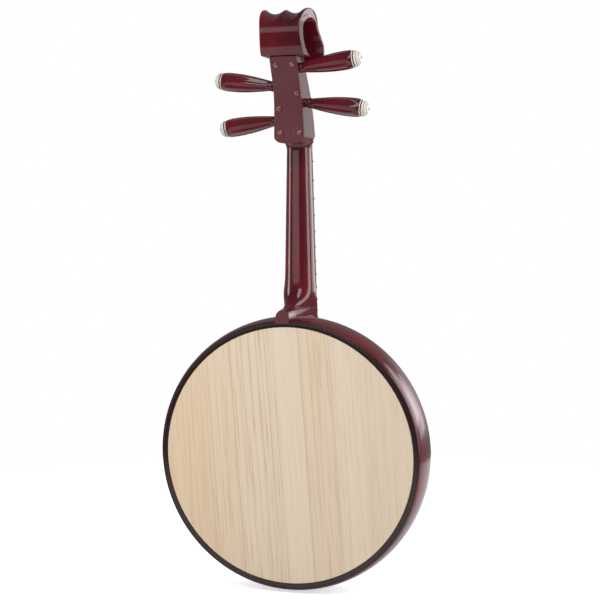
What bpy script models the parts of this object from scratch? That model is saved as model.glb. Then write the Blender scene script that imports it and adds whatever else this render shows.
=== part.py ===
"""Zhongruan: a round-bodied four-string lute, modelled piece by piece.

Upright, +Z along the neck, the soundboard facing -Y and the back board facing +Y.
The origin is the rim's lowest point, midway between the two boards. Metres.
"""
import math

import bmesh
import bpy
from mathutils import Matrix, Vector

# Sizes
CLEAR = 0.0003            # gap kept where two pieces touch
CUT_OVER = 0.02           # how far cutters reach past the pieces they cut

# body
BOARD_R = 0.206           # back board and soundboard radius
LIP_W = 0.0092            # flat lip of the rim round each board
BULGE = 0.0066            # how far the rim's side swells past the lip
BODY_T = 0.076            # board face to board face
BACK_T = 0.006            # back board thickness
SOUND_T = 0.007           # soundboard thickness
LEDGE_W = 0.009           # ledge that each board is glued to
LEDGE_H = 0.011           # and its height, before it slopes back to the wall
LEDGE_SLOPE = 0.006
WALL_T = 0.0118           # rim wall at its thickest, halfway between the boards
HOLE_R = 0.031            # sound hole
HOLE_X = 0.084            # sound hole centres off the centre line
HOLE_UP = 0.010           # and above the body's centre
ROSETTE_T = 0.003
PETALS = 8
PETAL = ((0.36, 0.045), (0.58, 0.16), (0.80, 0.10))   # (reach, half width), shares of HOLE_R
BOARD_EDGE = 0.0004
SWELL_POWER = 0.6         # below 1 the rim's side is fuller

# scale and neck
SCALE = 0.582             # vibrating string length, nut to bridge
NECK_OUT = 0.2799         # nut's playing edge above the rim's top
NUT_W = 0.0396            # fingerboard width at the nut
TAPER = 0.0475            # fingerboard gains this much width per metre
BOARD_T = 0.006           # fingerboard thickness
BOARD_END_UP = 0.056      # fingerboard's lower end above the body's centre
NECK_D = 0.0205           # neck depth at the nut, under the fingerboard
NECK_D_LOW = 0.0245       # and where the heel starts to sweep
NECK_BACK_HALF = 0.0035   # flat strip down the middle of the neck's back
HEEL_CAP_W = 0.0218
HEEL_CAP_RISE = 0.0170    # cap's top above the rim's lip
HEEL_CAP_LAP = 0.0043     # how far the cap comes down over the lip
HEEL_CAP_T = 0.0024
HEEL_SWEEP = 0.056        # height over which the neck's back sweeps out to the cap
HEEL_SHIFT = 0.0062       # the heel's back end sits this far to +X
HEEL_CURVE = 2.4          # 2 is a quarter ellipse; above it the sweep is tighter at the cap
HEEL_HALF_W = 0.0285      # half width of the heel where it meets the rim
HEEL_NOSE = 0.55          # its flanks draw in over this share of its depth
HEEL_ROOT = 0.012         # heel wood below the cap, cut to the rim's side
HEEL_CAP_EDGE = 0.0006    # wood showing round the cap
SHOULDER_L = 0.015        # the neck flares to the pegbox over this length
SHOULDER_OVER = 0.0030    # past the fingerboard's edge

# frets, nut, bridge, strings
FRETS = 24
FRET_W = 0.0024
FRET_H = 0.0016
FRET_OVER = 0.0007        # fret ends stand out past the fingerboard
TANG_W = 0.0006
TANG_D = 0.0016
NUT_T = 0.006
NUT_OVER = 0.0007
NUT_EDGE = 0.0012
NUT_RISE = 0.0033         # nut above the fingerboard
BRIDGE_LEN = 0.126
BRIDGE_W = 0.024
BRIDGE_H = 0.0172
BRIDGE_TOP_W = 0.0115     # flat top behind the strings' edge
BRIDGE_TOE_H = 0.0045     # low front of the bridge
BRIDGE_TOE_W = 0.004      # and its slope
BRIDGE_EDGE = 0.0012
BRIDGE_WING_L = 0.028     # sloped part at each end
BRIDGE_WING_H = 0.0035    # height left at its tip
STRING_R = (0.00045, 0.0004, 0.00055, 0.00035)   # for strings 1 to 4
NUT_SPACING = 0.0086
BRIDGE_SPACING = 0.0135
STRING_AT_NUT = 0.0090    # string centres above the soundboard's face
STRING_AT_BRIDGE = 0.0146

# pegbox
BOX_HALF_LOW = 0.0252     # half width at the nut end
BOX_HALF_MID = 0.0224
BOX_HALF_TOP = 0.0226
BOX_LEN = 0.1285          # nut end to top end
BOX_WAIST = 0.66          # share of the length at which the box is narrowest
BOX_CHIN = 0.006          # how far the back of the box hangs below the nut
CHIN_ROUND = 0.012        # height of the rounded lower end, seen from behind
BOX_EDGE = 0.0014
BOX_BLOCK = (0.08, 0.16)  # width and depth of the block that the box's outlines cut
PLATE_T = 0.0022          # cover plate
PLATE_IN = 0.0002         # its edge lies this far inside the box's
PLATE_TOP = 0.0015        # and its top end this far below the box's
PLATE_EDGE = 0.0005
SLOT_HALF_LOW = 0.0152    # slot half width at the front, nut end
SLOT_LAP = 0.0001         # the slot starts this far below the nut's top
SLOT_HALF_TOP = 0.0120
SLOT_HALF_BACK = 0.0114
SLOT_END = 0.0085         # wood left above the slot
SLOT_FLOOR = 0.0260       # the slot's sloped lower end, at the back, above the nut
SCREW_HEAD_R = 0.0037
SCREW_HEAD_H = 0.0010
SCREW_R = 0.0015
SCREW_LEN = 0.0075

# pegs: 1 and 3 on the -X side, 2 and 4 on the +X side
PEG_FROM_TOP = 0.0185     # top peg's root below the box's top end
PEG_STEP = 0.026          # spacing down the box
PEG_TOP_DEPTH = 0.0135    # top peg's axis in front of the back board's face
PEG_DEPTH_STEP = 0.0104   # each lower peg lies this much further forward
PEG_SPLAY = math.radians(7.0)
PEG_GAP = (0.0010, 0.0025, 0.0067, 0.0015)       # collar to cheek, peg 3 stands out
SHAFT_R = 0.0070          # at the collar
SHAFT_TAPER = 0.024       # radius lost per metre of shaft
FAR_WALL = 0.0034         # wood left beyond the shaft's end in the far cheek
COLLAR_R = 0.0084
COLLAR_L = 0.0042
COLLAR_NECK = 0.0010      # groove between the collar and the handle
SHAFT_EDGE = 0.001
HANDLE_L = 0.0812
HANDLE_FOOT_R = 0.0079    # at the collar
HANDLE_R = 0.0149         # at its widest
HANDLE_WIDEST = 0.83      # as a share of its length
HANDLE_END_R = 0.0131
FLUTES = 8
FLUTE_DEPTH = 0.085       # share of the radius
RING_T = 0.0028
BAND_T = 0.0024
CAP_L = 0.0078
CAP_TIP = 0.0014
CAP_TIP_R = 0.0018
CAP_IN = 0.0010           # the cap's foot lies this far inside the handle's end
WIND_TURNS = 3
WIND_PITCH = 0.0016
WIND_AT = (0.0050, 0.0050, 0.0098, 0.0098)       # first turns off the centre line

# head: a hood that rolls from the top of the box over to the front
HEAD_STATIONS = (
    # (outer up, outer depth), (inner up, inner depth), half width, flute's share of its
    # depth; heights are from the box's top end
    ((0.0000, -0.0080), (0.0000, 0.0300), 0.0352, 0.0),
    ((0.0090, -0.0135), (0.0060, 0.0170), 0.0347, 0.0),
    ((0.0210, -0.0180), (0.0180, 0.0045), 0.0338, 0.0),
    ((0.0340, -0.0212), (0.0330, -0.0010), 0.0330, 0.0),
    ((0.0480, -0.0203), (0.0450, -0.0015), 0.0334, 0.10),
    ((0.0602, -0.0133), (0.0525, 0.0050), 0.0350, 0.62),
    ((0.0699, 0.0005), (0.0572, 0.0145), 0.0368, 0.94),
    ((0.0741, 0.0195), (0.0592, 0.0245), 0.0386, 1.0),
    ((0.0709, 0.0365), (0.0568, 0.0340), 0.0402, 0.80),
    ((0.0615, 0.0465), (0.0510, 0.0405), 0.0410, 0.35),
    ((0.0470, 0.0510), (0.0430, 0.0450), 0.0414, 0.0),
    ((0.0330, 0.0600), (0.0285, 0.0550), 0.0436, 0.0),
    ((0.0200, 0.0705), (0.0185, 0.0645), 0.0447, 0.0),
    ((0.0070, 0.0760), (0.0065, 0.0700), 0.0432, 0.0),
    ((-0.0035, 0.0755), (-0.0030, 0.0700), 0.0392, 0.0),
    ((-0.0110, 0.0715), (-0.0095, 0.0665), 0.0290, 0.0),
)
HEAD_FLUTE_DEPTH = 0.0078
HEAD_FLUTE_EDGE = 0.94    # the outer ridges' place, as a share of the half width
HEAD_MID_DROP = 0.0016    # the middle ridge stands this much lower than the outer two
LOBE_NOTCH_R = 0.0050     # notches between the lobes of the front panel
LOBE_NOTCH_X = 0.0190
LOBE_NOTCH_UP = -0.0115
LOBE_NOTCH_D = (0.045, 0.095)     # depths it is cut between
HEAD_EDGE = 0.0016

# Steps
BODY_STEPS = 64           # round the rim and the boards
HOLE_STEPS = 32
NECK_RING = 9             # from the fingerboard's edge round to the neck's back
SCREW_STEPS = 10
CAP_STEPS = 16            # round the pegs' rings and caps
WIND_POINTS = 16          # to a turn of string
HEAD_ACROSS = 16          # across the hood's outer face

# Derived
RIM_R = BOARD_R + CLEAR + LIP_W
MAX_R = RIM_R + BULGE
WALL_R = MAX_R - WALL_T
CENTRE_Z = MAX_R
CAP_TOP_Z = CENTRE_Z + RIM_R + HEEL_CAP_RISE
CAP_LOW_Z = CENTRE_Z + RIM_R - HEEL_CAP_LAP
BACK_Y = BODY_T / 2
FRONT_Y = -BODY_T / 2
LEDGE_R = BOARD_R + CLEAR - LEDGE_W
NUT_Z = CENTRE_Z + MAX_R + NECK_OUT
BRIDGE_Z = NUT_Z - SCALE
BOARD_Y = FRONT_Y - CLEAR                # fingerboard's underside
BOARD_TOP_Y = BOARD_Y - BOARD_T
BOARD_END_Z = CENTRE_Z + BOARD_END_UP
BOX_TOP_Z = NUT_Z + BOX_LEN
NUT_TOP_Z = NUT_Z + NUT_T


def depth(d):
    """World Y of a depth measured forward from the back board's face."""
    return BACK_Y - d


def board_half(z):
    """Half width of the fingerboard at height z."""
    return (NUT_W + TAPER * (NUT_Z - z)) / 2


def smooth_path(points, per):
    """Catmull-Rom points through a list of equal-length tuples."""
    out = []
    last = len(points) - 1
    for i in range(last):
        p0, p1 = points[max(i - 1, 0)], points[i]
        p2, p3 = points[i + 1], points[min(i + 2, last)]
        for k in range(per):
            t = k / per
            out.append(tuple(
                0.5 * (2 * b + (c - a) * t + (2 * a - 5 * b + 4 * c - d) * t ** 2
                       + (3 * b - a - 3 * c + d) * t ** 3)
                for a, b, c, d in zip(p0, p1, p2, p3)))
    out.append(tuple(points[-1]))
    return out


# Scene and materials
for old in list(bpy.data.objects):
    bpy.data.objects.remove(old, do_unlink=True)

PARTS = bpy.data.collections.new("zhongruan")
CUTTERS = bpy.data.collections.new("zhongruan_cutters")
bpy.context.scene.collection.children.link(PARTS)
bpy.context.scene.collection.children.link(CUTTERS)


def material(name, rgb, roughness, metallic=0.0):
    mat = bpy.data.materials.new(name)
    mat.use_nodes = True
    shader = mat.node_tree.nodes["Principled BSDF"]
    shader.inputs["Base Color"].default_value = (*rgb, 1.0)
    shader.inputs["Roughness"].default_value = roughness
    shader.inputs["Metallic"].default_value = metallic
    return mat


LACQUER = (0.20, 0.022, 0.030)
PLATE_WOOD = (0.19, 0.050, 0.052)
PAULOWNIA = (0.62, 0.42, 0.25)
IVORY = (0.74, 0.70, 0.56)
BRASS = (0.80, 0.56, 0.28)
STEEL = (0.62, 0.62, 0.60)


# Builders
def place(obj, name, collection=None):
    obj.name = name
    obj.data.name = name
    for coll in list(obj.users_collection):
        coll.objects.unlink(obj)
    (collection or PARTS).objects.link(obj)
    return obj


def finish(obj, rgb, roughness, metallic=0.0, smooth=True):
    mat = material(obj.name, rgb, roughness, metallic)
    obj.data.materials.clear()
    obj.data.materials.append(mat)
    if smooth:
        obj.data.shade_smooth()
        obj.data.set_sharp_from_angle(angle=math.radians(32))
    return obj


def as_cutter(obj):
    obj.hide_render = True
    obj.display_type = 'WIRE'
    return obj


def from_bmesh(name, bm, collection=None):
    bmesh.ops.remove_doubles(bm, verts=bm.verts, dist=1e-6)
    bmesh.ops.recalc_face_normals(bm, faces=bm.faces)
    mesh = bpy.data.meshes.new(name)
    bm.to_mesh(mesh)
    bm.free()
    obj = bpy.data.objects.new(name, mesh)
    (collection or PARTS).objects.link(obj)
    return obj


def turned(name, profile, steps, closed=False, collection=None):
    """A profile of (radius, height) points turned about the object's Z axis."""
    mesh = bpy.data.meshes.new(name)
    edges = [(i, i + 1) for i in range(len(profile) - 1)]
    if closed:
        edges.append((len(profile) - 1, 0))
    mesh.from_pydata([(r, 0, h) for r, h in profile], edges, [])
    obj = bpy.data.objects.new(name, mesh)
    (collection or PARTS).objects.link(obj)
    screw = obj.modifiers.new("turn", 'SCREW')
    screw.axis = 'Z'
    screw.steps = screw.render_steps = steps
    screw.use_merge_vertices = True
    screw.merge_threshold = 1e-6
    screw.use_smooth_shade = True
    return obj


def meshed(obj):
    """The evaluated object as a plain mesh object under the same name."""
    bpy.context.view_layer.update()
    shown = obj.evaluated_get(bpy.context.evaluated_depsgraph_get())
    mesh = bpy.data.meshes.new_from_object(shown)
    bm = bmesh.new()
    bm.from_mesh(mesh)
    bmesh.ops.remove_doubles(bm, verts=bm.verts, dist=1e-6)
    bmesh.ops.recalc_face_normals(bm, faces=bm.faces)
    bm.to_mesh(mesh)
    bm.free()
    name, matrix = obj.name, obj.matrix_world.copy()
    coll = obj.users_collection[0]
    bpy.data.objects.remove(obj, do_unlink=True)
    out = bpy.data.objects.new(name, mesh)
    mesh.name = name
    coll.objects.link(out)
    out.matrix_world = matrix
    return out


def outline(name, points, thick, collection=None):
    """A flat closed outline in the object's XY plane, extruded thick along Z, as a mesh."""
    curve = bpy.data.curves.new(name, 'CURVE')
    curve.dimensions = '2D'
    curve.fill_mode = 'BOTH'
    curve.extrude = thick / 2
    spline = curve.splines.new('POLY')
    spline.points.add(len(points) - 1)
    for point, (x, y) in zip(spline.points, points):
        point.co = (x, y, 0, 1)
    spline.use_cyclic_u = True
    obj = bpy.data.objects.new(name, curve)
    (collection or PARTS).objects.link(obj)
    return meshed(obj)


def tube(name, points, radius, collection=None, resolution=1):
    """A round wire along a list of points, with closed ends, as a mesh."""
    curve = bpy.data.curves.new(name, 'CURVE')
    curve.dimensions = '3D'
    curve.bevel_depth = radius
    curve.bevel_resolution = resolution
    curve.use_fill_caps = True
    spline = curve.splines.new('POLY')
    spline.points.add(len(points) - 1)
    for point, co in zip(spline.points, points):
        point.co = (*co, 1)
    obj = bpy.data.objects.new(name, curve)
    (collection or PARTS).objects.link(obj)
    return meshed(obj)


def loft(name, rings, collection=None):
    """Rings of equal count joined one to the next, with flat ends."""
    bm = bmesh.new()
    rows = [[bm.verts.new(co) for co in ring] for ring in rings]
    count = len(rings[0])
    for low, high in zip(rows, rows[1:]):
        for i in range(count):
            j = (i + 1) % count
            bm.faces.new((low[i], low[j], high[j], high[i]))
    bm.faces.new(rows[0])
    bm.faces.new(rows[-1])
    return from_bmesh(name, bm, collection)


def box(name, low, high, collection=None):
    bm = bmesh.new()
    bmesh.ops.create_cube(bm, size=1.0)
    size = [b - a for a, b in zip(low, high)]
    mid = [(a + b) / 2 for a, b in zip(low, high)]
    bmesh.ops.scale(bm, vec=size, verts=bm.verts)
    bmesh.ops.translate(bm, vec=mid, verts=bm.verts)
    return from_bmesh(name, bm, collection)


def hull(name, points, collection=None):
    bm = bmesh.new()
    for co in points:
        bm.verts.new(co)
    result = bmesh.ops.convex_hull(bm, input=bm.verts)
    bmesh.ops.delete(bm, geom=result["geom_interior"], context='VERTS')
    return from_bmesh(name, bm, collection)


def cylinder(name, r1, r2, start, end, segments=20, collection=None):
    """A cone frustum from start (radius r1) to end (radius r2)."""
    start, end = Vector(start), Vector(end)
    axis = end - start
    bm = bmesh.new()
    bmesh.ops.create_cone(bm, cap_ends=True, segments=segments, radius1=r1, radius2=r2,
                          depth=axis.length)
    turn = axis.to_track_quat('Z', 'Y').to_matrix().to_4x4()
    bmesh.ops.transform(bm, matrix=Matrix.Translation((start + end) / 2) @ turn, verts=bm.verts)
    return from_bmesh(name, bm, collection)


def boolean(obj, other, operation='DIFFERENCE'):
    mod = obj.modifiers.new(other.name, 'BOOLEAN')
    mod.operation = operation
    mod.object = other
    mod.solver = 'EXACT'
    return mod


def eased(obj, width, segments=2, angle=35):
    mod = obj.modifiers.new("eased edges", 'BEVEL')
    mod.width = width
    mod.segments = segments
    mod.limit_method = 'ANGLE'
    mod.angle_limit = math.radians(angle)
    mod.harden_normals = False
    return mod


def stand_on_body_axis(obj):
    """Turn a piece made about Z so that its Z runs to the back along the body's axis."""
    obj.location = (0, 0, CENTRE_Z)
    obj.rotation_euler = (-math.pi / 2, 0, 0)
    return obj


# Body
def rim_side(grow=0.0, count=8):
    """(radius, depth from the middle) points over the swelling side, back to front."""
    points = []
    for i in range(count):
        a = math.pi * i / (count - 1)
        d = -math.cos(a) * BODY_T / 2
        swell = BULGE * max(math.sin(math.pi * (d / BODY_T + 0.5)), 0.0) ** SWELL_POWER
        points.append((RIM_R + swell + grow, -d))
    return points


half = BODY_T / 2
profile = rim_side()
low_ledge = -half + SOUND_T + CLEAR
high_ledge = half - BACK_T - CLEAR
profile += [(BOARD_R + CLEAR, -half), (BOARD_R + CLEAR, low_ledge), (LEDGE_R, low_ledge),
            (LEDGE_R, low_ledge + LEDGE_H), (WALL_R, low_ledge + LEDGE_H + LEDGE_SLOPE),
            (WALL_R, high_ledge - LEDGE_H - LEDGE_SLOPE), (LEDGE_R, high_ledge - LEDGE_H),
            (LEDGE_R, high_ledge), (BOARD_R + CLEAR, high_ledge), (BOARD_R + CLEAR, half)]
rim = stand_on_body_axis(turned("rim", profile, BODY_STEPS, closed=True))
finish(rim, LACQUER, 0.12)

back = stand_on_body_axis(turned("back_board", [
    (0, half), (BOARD_R - BOARD_EDGE, half), (BOARD_R, half - BOARD_EDGE),
    (BOARD_R, half - BACK_T), (0, half - BACK_T)], BODY_STEPS))
finish(back, PAULOWNIA, 0.6)

sound = stand_on_body_axis(turned("soundboard", [
    (0, -half + SOUND_T), (BOARD_R, -half + SOUND_T), (BOARD_R, -half + BOARD_EDGE),
    (BOARD_R - BOARD_EDGE, -half), (0, -half)], BODY_STEPS))
for side in (1, -1):
    hole = cylinder("sound_hole_cutter", HOLE_R, HOLE_R,
                    (side * HOLE_X, FRONT_Y - CUT_OVER, CENTRE_Z + HOLE_UP),
                    (side * HOLE_X, FRONT_Y + SOUND_T + CUT_OVER, CENTRE_Z + HOLE_UP),
                    HOLE_STEPS, CUTTERS)
    boolean(sound, as_cutter(hole))
finish(sound, PAULOWNIA, 0.6)

# sound hole rosettes: a rim and a hub with pierced petals between
for number, side in enumerate((1, -1), start=1):
    outer = HOLE_R - CLEAR
    centre = Vector((side * HOLE_X, FRONT_Y + ROSETTE_T / 2, CENTRE_Z + HOLE_UP))
    rosette = cylinder("rosette_%d" % number, outer, outer,
                       centre - Vector((0, ROSETTE_T / 2, 0)),
                       centre + Vector((0, ROSETTE_T / 2, 0)), HOLE_STEPS)
    for k in range(PETALS):
        a = 2 * math.pi * k / PETALS
        petal = []
        for sign in (1, -1):
            for r, w in PETAL:
                for y in (-ROSETTE_T, ROSETTE_T):
                    px, pz = r * outer, sign * w * outer
                    petal.append((centre.x + px * math.cos(a) - pz * math.sin(a), centre.y + y,
                                  centre.z + px * math.sin(a) + pz * math.cos(a)))
        boolean(rosette, as_cutter(hull("petal_cutter", petal, CUTTERS)))
    finish(rosette, LACQUER, 0.3)


# Neck and heel
def neck_ring(z, half_w, deep, back_half, shift, heel=0.0, tongue_half=0.0, nose=HEEL_NOSE):
    """Section with its flat at the fingerboard: round, or heel-like with scooped flanks.

    heel goes from 0, round, to 1: flanks that draw in to the half width tongue_half at
    the share nose of the depth, and then close to the half width back_half.
    """
    flank = NECK_RING - 4
    row = []
    for i in range(NECK_RING + 1):
        a = 0.5 * math.pi * i / NECK_RING
        round_w = back_half + (half_w - back_half) * math.cos(a)
        if i <= flank:
            t = nose * i / flank
            ease = (1 - i / flank) ** 2
            w = tongue_half + (half_w - tongue_half) * ease
        else:
            b = 0.5 * math.pi * (i - flank) / (NECK_RING - flank)
            t = nose + (1 - nose) * math.sin(b)
            w = back_half + (tongue_half - back_half) * math.cos(b)
        t = math.sin(a) + (t - math.sin(a)) * heel
        row.append((round_w + (w - round_w) * heel, deep * t, shift * t))
    right = [(w + dx, FRONT_Y + d, z) for w, d, dx in row]
    left = [(-w + dx, FRONT_Y + d, z) for w, d, dx in reversed(row)]
    return right + left


cap_half = HEEL_CAP_W / 2 + HEEL_CAP_EDGE
cap_top = CAP_TOP_Z + HEEL_CAP_EDGE
sweep_z = cap_top + HEEL_SWEEP
shoulder_z = NUT_Z - CLEAR - SHOULDER_L

neck_rings = []
for z in (CAP_LOW_Z - HEEL_ROOT, CAP_LOW_Z, cap_top - cap_half):
    neck_rings.append(neck_ring(z, HEEL_HALF_W, BODY_T, cap_half, HEEL_SHIFT, 1.0, cap_half))
for a in (35, 60, 80):
    a = math.radians(a)
    neck_rings.append(neck_ring(cap_top - cap_half * (1 - math.sin(a)), HEEL_HALF_W, BODY_T,
                                cap_half * math.cos(a), HEEL_SHIFT, 1.0, cap_half,
                                HEEL_NOSE * (1 + 0.49 * math.cos(a))))
for k in range(1, 10):
    t = (k / 9) ** 2
    z = cap_top + (sweep_z - cap_top) * t
    fade = (1 - t) ** 2.2
    sweep = 1 - (1 - (1 - t) ** HEEL_CURVE) ** (1 / HEEL_CURVE)
    neck_rings.append(neck_ring(
        z, board_half(z) + (HEEL_HALF_W - board_half(z)) * fade,
        NECK_D_LOW + (BODY_T - NECK_D_LOW) * sweep,
        NECK_BACK_HALF, HEEL_SHIFT * (1 - t) ** 4, (1 - t) ** 1.6,
        cap_half + (board_half(z) - cap_half) * t ** 0.8, HEEL_NOSE * (1 - t)))
for t in (0.5, 1.0):
    z = sweep_z + (shoulder_z - sweep_z) * t
    neck_rings.append(neck_ring(z, board_half(z), NECK_D_LOW + (NECK_D - NECK_D_LOW) * t,
                                NECK_BACK_HALF, 0.0))
for t in (0.35, 0.7, 1.0):
    z = shoulder_z + SHOULDER_L * t
    neck_rings.append(neck_ring(z, board_half(z) + SHOULDER_OVER * t * t, NECK_D,
                                NECK_BACK_HALF, 0.0))
neck = loft("neck", neck_rings)
body_space = turned("body_space_cutter",
                    [(0, half + CUT_OVER), (RIM_R + CLEAR, half + CUT_OVER)]
                    + rim_side(CLEAR)
                    + [(RIM_R + CLEAR, -half - CUT_OVER), (0, -half - CUT_OVER)],
                    BODY_STEPS * 2, collection=CUTTERS)
as_cutter(stand_on_body_axis(body_space))
boolean(neck, body_space)
finish(neck, LACQUER, 0.12)

# heel cap: an arch-topped tab over the heel's back end and the rim's lip
cap_r = HEEL_CAP_W / 2
arch = [(-cap_r, CAP_LOW_Z), (cap_r, CAP_LOW_Z)]
for i in range(13):
    a = math.pi * i / 12
    arch.append((cap_r * math.cos(a), CAP_TOP_Z - cap_r + cap_r * math.sin(a)))
heel_cap = outline("heel_cap", arch, HEEL_CAP_T)
heel_cap.rotation_euler = (math.pi / 2, 0, 0)
heel_cap.location = (HEEL_SHIFT, BACK_Y + CLEAR + HEEL_CAP_T / 2, 0)
eased(heel_cap, PLATE_EDGE, 1)
finish(heel_cap, PLATE_WOOD, 0.5)


# Fingerboard, frets, nut
def fret_z(n):
    return NUT_Z - SCALE * (1 - 2 ** (-n / 12))


board_points = [(-board_half(NUT_Z), NUT_Z), (-board_half(BOARD_END_Z), BOARD_END_Z),
                (board_half(BOARD_END_Z), BOARD_END_Z), (board_half(NUT_Z), NUT_Z)]
fingerboard = outline("fingerboard", board_points, BOARD_T)
fingerboard.rotation_euler = (math.pi / 2, 0, 0)
fingerboard.location = (0, BOARD_Y - BOARD_T / 2, 0)
eased(fingerboard, BOARD_EDGE, 1)
kerf = TANG_W / 2 + CLEAR
kerfs = bmesh.new()
for n in range(1, FRETS + 1):
    cut = bmesh.ops.create_cube(kerfs, size=1.0)["verts"]
    bmesh.ops.scale(kerfs, vec=(2 * NUT_W, 2 * (TANG_D + CLEAR), 2 * kerf), verts=cut)
    bmesh.ops.translate(kerfs, vec=(0, BOARD_TOP_Y, fret_z(n)), verts=cut)
boolean(fingerboard, as_cutter(from_bmesh("kerf_cutter", kerfs, CUTTERS)))
finish(fingerboard, (0.030, 0.014, 0.012), 0.35)

for n in range(1, FRETS + 1):
    crown = [(-TANG_W / 2, -TANG_D), (TANG_W / 2, -TANG_D), (TANG_W / 2, CLEAR)]
    for i in range(7):
        a = math.pi * i / 6
        crown.append((math.cos(a) * FRET_W / 2, CLEAR + math.sin(a) * FRET_H))
    crown.append((-TANG_W / 2, CLEAR))
    length = 2 * (board_half(fret_z(n)) + FRET_OVER)
    fret = outline("fret_%02d" % n, crown, length)
    fret.matrix_world = (Matrix.Translation((0, BOARD_TOP_Y, fret_z(n)))
                         @ Matrix(((0, 0, 1, 0), (0, -1, 0, 0), (1, 0, 0, 0), (0, 0, 0, 1))))
    finish(fret, BRASS, 0.3, 1.0)

nut_half = board_half(NUT_Z) + NUT_OVER
nut_rise = BOARD_T + NUT_RISE
string_u = (-0.5 * NUT_SPACING, 0.5 * NUT_SPACING, -1.5 * NUT_SPACING, 1.5 * NUT_SPACING)
nut_string_y = FRONT_Y - STRING_AT_NUT
bridge_string_y = FRONT_Y - STRING_AT_BRIDGE
nut_outline = [(nut_half, 0), (nut_half, nut_rise - NUT_EDGE), (nut_half - NUT_EDGE, nut_rise)]
for x, r in sorted(zip(string_u, STRING_R), reverse=True):
    low = STRING_AT_NUT - CLEAR - r - CLEAR
    nut_outline += [(x + r + CLEAR, nut_rise), (x + r + CLEAR, low + r * 0.6),
                    (x + r * 0.4, low), (x - r * 0.4, low),
                    (x - r - CLEAR, low + r * 0.6), (x - r - CLEAR, nut_rise)]
nut_outline += [(-nut_half + NUT_EDGE, nut_rise), (-nut_half, nut_rise - NUT_EDGE), (-nut_half, 0)]
nut = outline("nut", nut_outline, NUT_T - 2 * CLEAR)
nut.matrix_world = (Matrix.Translation((0, BOARD_Y, NUT_Z + NUT_T / 2))
                    @ Matrix(((1, 0, 0, 0), (0, -1, 0, 0), (0, 0, -1, 0), (0, 0, 0, 1))))
finish(nut, IVORY, 0.3)

# bridge: a glued tie bar with a raised string block
side_view = [(0, 0), (-BRIDGE_W, 0), (-BRIDGE_W, BRIDGE_TOE_H),
             (-BRIDGE_W + BRIDGE_TOE_W, BRIDGE_TOE_H + BRIDGE_TOE_W),
             (-BRIDGE_TOP_W - BRIDGE_EDGE, BRIDGE_H - BRIDGE_EDGE), (-BRIDGE_TOP_W, BRIDGE_H),
             (-BRIDGE_EDGE, BRIDGE_H), (0, BRIDGE_H - BRIDGE_EDGE)]
bridge = outline("bridge", side_view, BRIDGE_LEN)
bridge.matrix_world = (Matrix.Translation((0, FRONT_Y - CLEAR, BRIDGE_Z))
                       @ Matrix(((0, 0, 1, 0), (0, -1, 0, 0), (1, 0, 0, 0), (0, 0, 0, 1))))
for side in (1, -1):
    tip = BRIDGE_LEN / 2
    over = BRIDGE_EDGE * 3
    end = hull("bridge_end_cutter", [
        (side * x, FRONT_Y - y, BRIDGE_Z + dz)
        for x, y in ((tip - BRIDGE_WING_L, BRIDGE_H + over),
                     (tip - BRIDGE_WING_L * 0.66, BRIDGE_WING_H + (BRIDGE_H - BRIDGE_WING_H) * 0.62),
                     (tip, BRIDGE_WING_H), (tip + over, BRIDGE_WING_H),
                     (tip + over, BRIDGE_H + over))
        for dz in (-BRIDGE_W - over, over)], CUTTERS)
    boolean(bridge, as_cutter(end))
bridge_u = [u * BRIDGE_SPACING / NUT_SPACING for u in string_u]
for x, r in zip(bridge_u, STRING_R):
    hole = cylinder("string_hole_cutter", r + CLEAR, r + CLEAR,
                    (x, bridge_string_y, BRIDGE_Z - BRIDGE_W * 1.2),
                    (x, bridge_string_y, BRIDGE_Z + BRIDGE_W * 0.2), 10, CUTTERS)
    boolean(bridge, as_cutter(hole))
finish(bridge, LACQUER, 0.2)

# Pegbox
# the box in side view: (share of its length above the nut, depth), low end to top
BOX_BACK = ((-BOX_CHIN / BOX_LEN, 0.0222), (0.125, 0.0222), (0.311, 0.0202), (0.436, 0.0179),
            (0.576, 0.0140), (0.716, 0.0080), (0.833, 0.0019), (1.0, -0.0062))
BOX_FRONT = ((NUT_T / BOX_LEN, 0.0815), (0.265, 0.0770), (0.482, 0.0703), (0.638, 0.0608),
             (0.778, 0.0490), (0.895, 0.0400), (1.0, 0.0330))
back_curve = smooth_path([(share * BOX_LEN, d) for share, d in BOX_BACK], 3)
front_curve = smooth_path([(share * BOX_LEN, d) for share, d in BOX_FRONT], 3)


def offset(curve, by):
    """Points of a (up, depth) curve moved by the distance by, square to the curve."""
    out = []
    for i, (up, d) in enumerate(curve):
        a, b = curve[max(i - 1, 0)], curve[min(i + 1, len(curve) - 1)]
        du, dd = b[0] - a[0], b[1] - a[1]
        n = math.hypot(du, dd)
        out.append((up - dd / n * by, d + du / n * by))
    return out


def clipped(curve, top):
    """The curve up to the height top, with a point worked out on it there."""
    out = []
    for a, b in zip(curve, curve[1:]):
        out.append(a)
        if b[0] >= top:
            t = (top - a[0]) / (b[0] - a[0])
            out.append((top, a[1] + (b[1] - a[1]) * t))
            return out
    return out + [curve[-1]]


def box_half(up):
    """Half width of the pegbox at a height above the nut."""
    t = min(max(up / BOX_LEN, 0.0), 1.0)
    if t < BOX_WAIST:
        s = t / BOX_WAIST
        return BOX_HALF_LOW + (BOX_HALF_MID - BOX_HALF_LOW) * s * s * (3 - 2 * s)
    s = (t - BOX_WAIST) / (1 - BOX_WAIST)
    return BOX_HALF_MID + (BOX_HALF_TOP - BOX_HALF_MID) * s * s


def side_block(name, points, collection=None):
    """A (up, depth) outline in side view, extruded across the box."""
    obj = outline(name, points, BOX_BLOCK[0], collection)
    obj.matrix_world = (Matrix.Translation((0, BACK_Y, NUT_Z))
                        @ Matrix(((0, 0, 1, 0), (0, -1, 0, 0), (1, 0, 0, 0), (0, 0, 0, 1))))
    return obj


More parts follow.
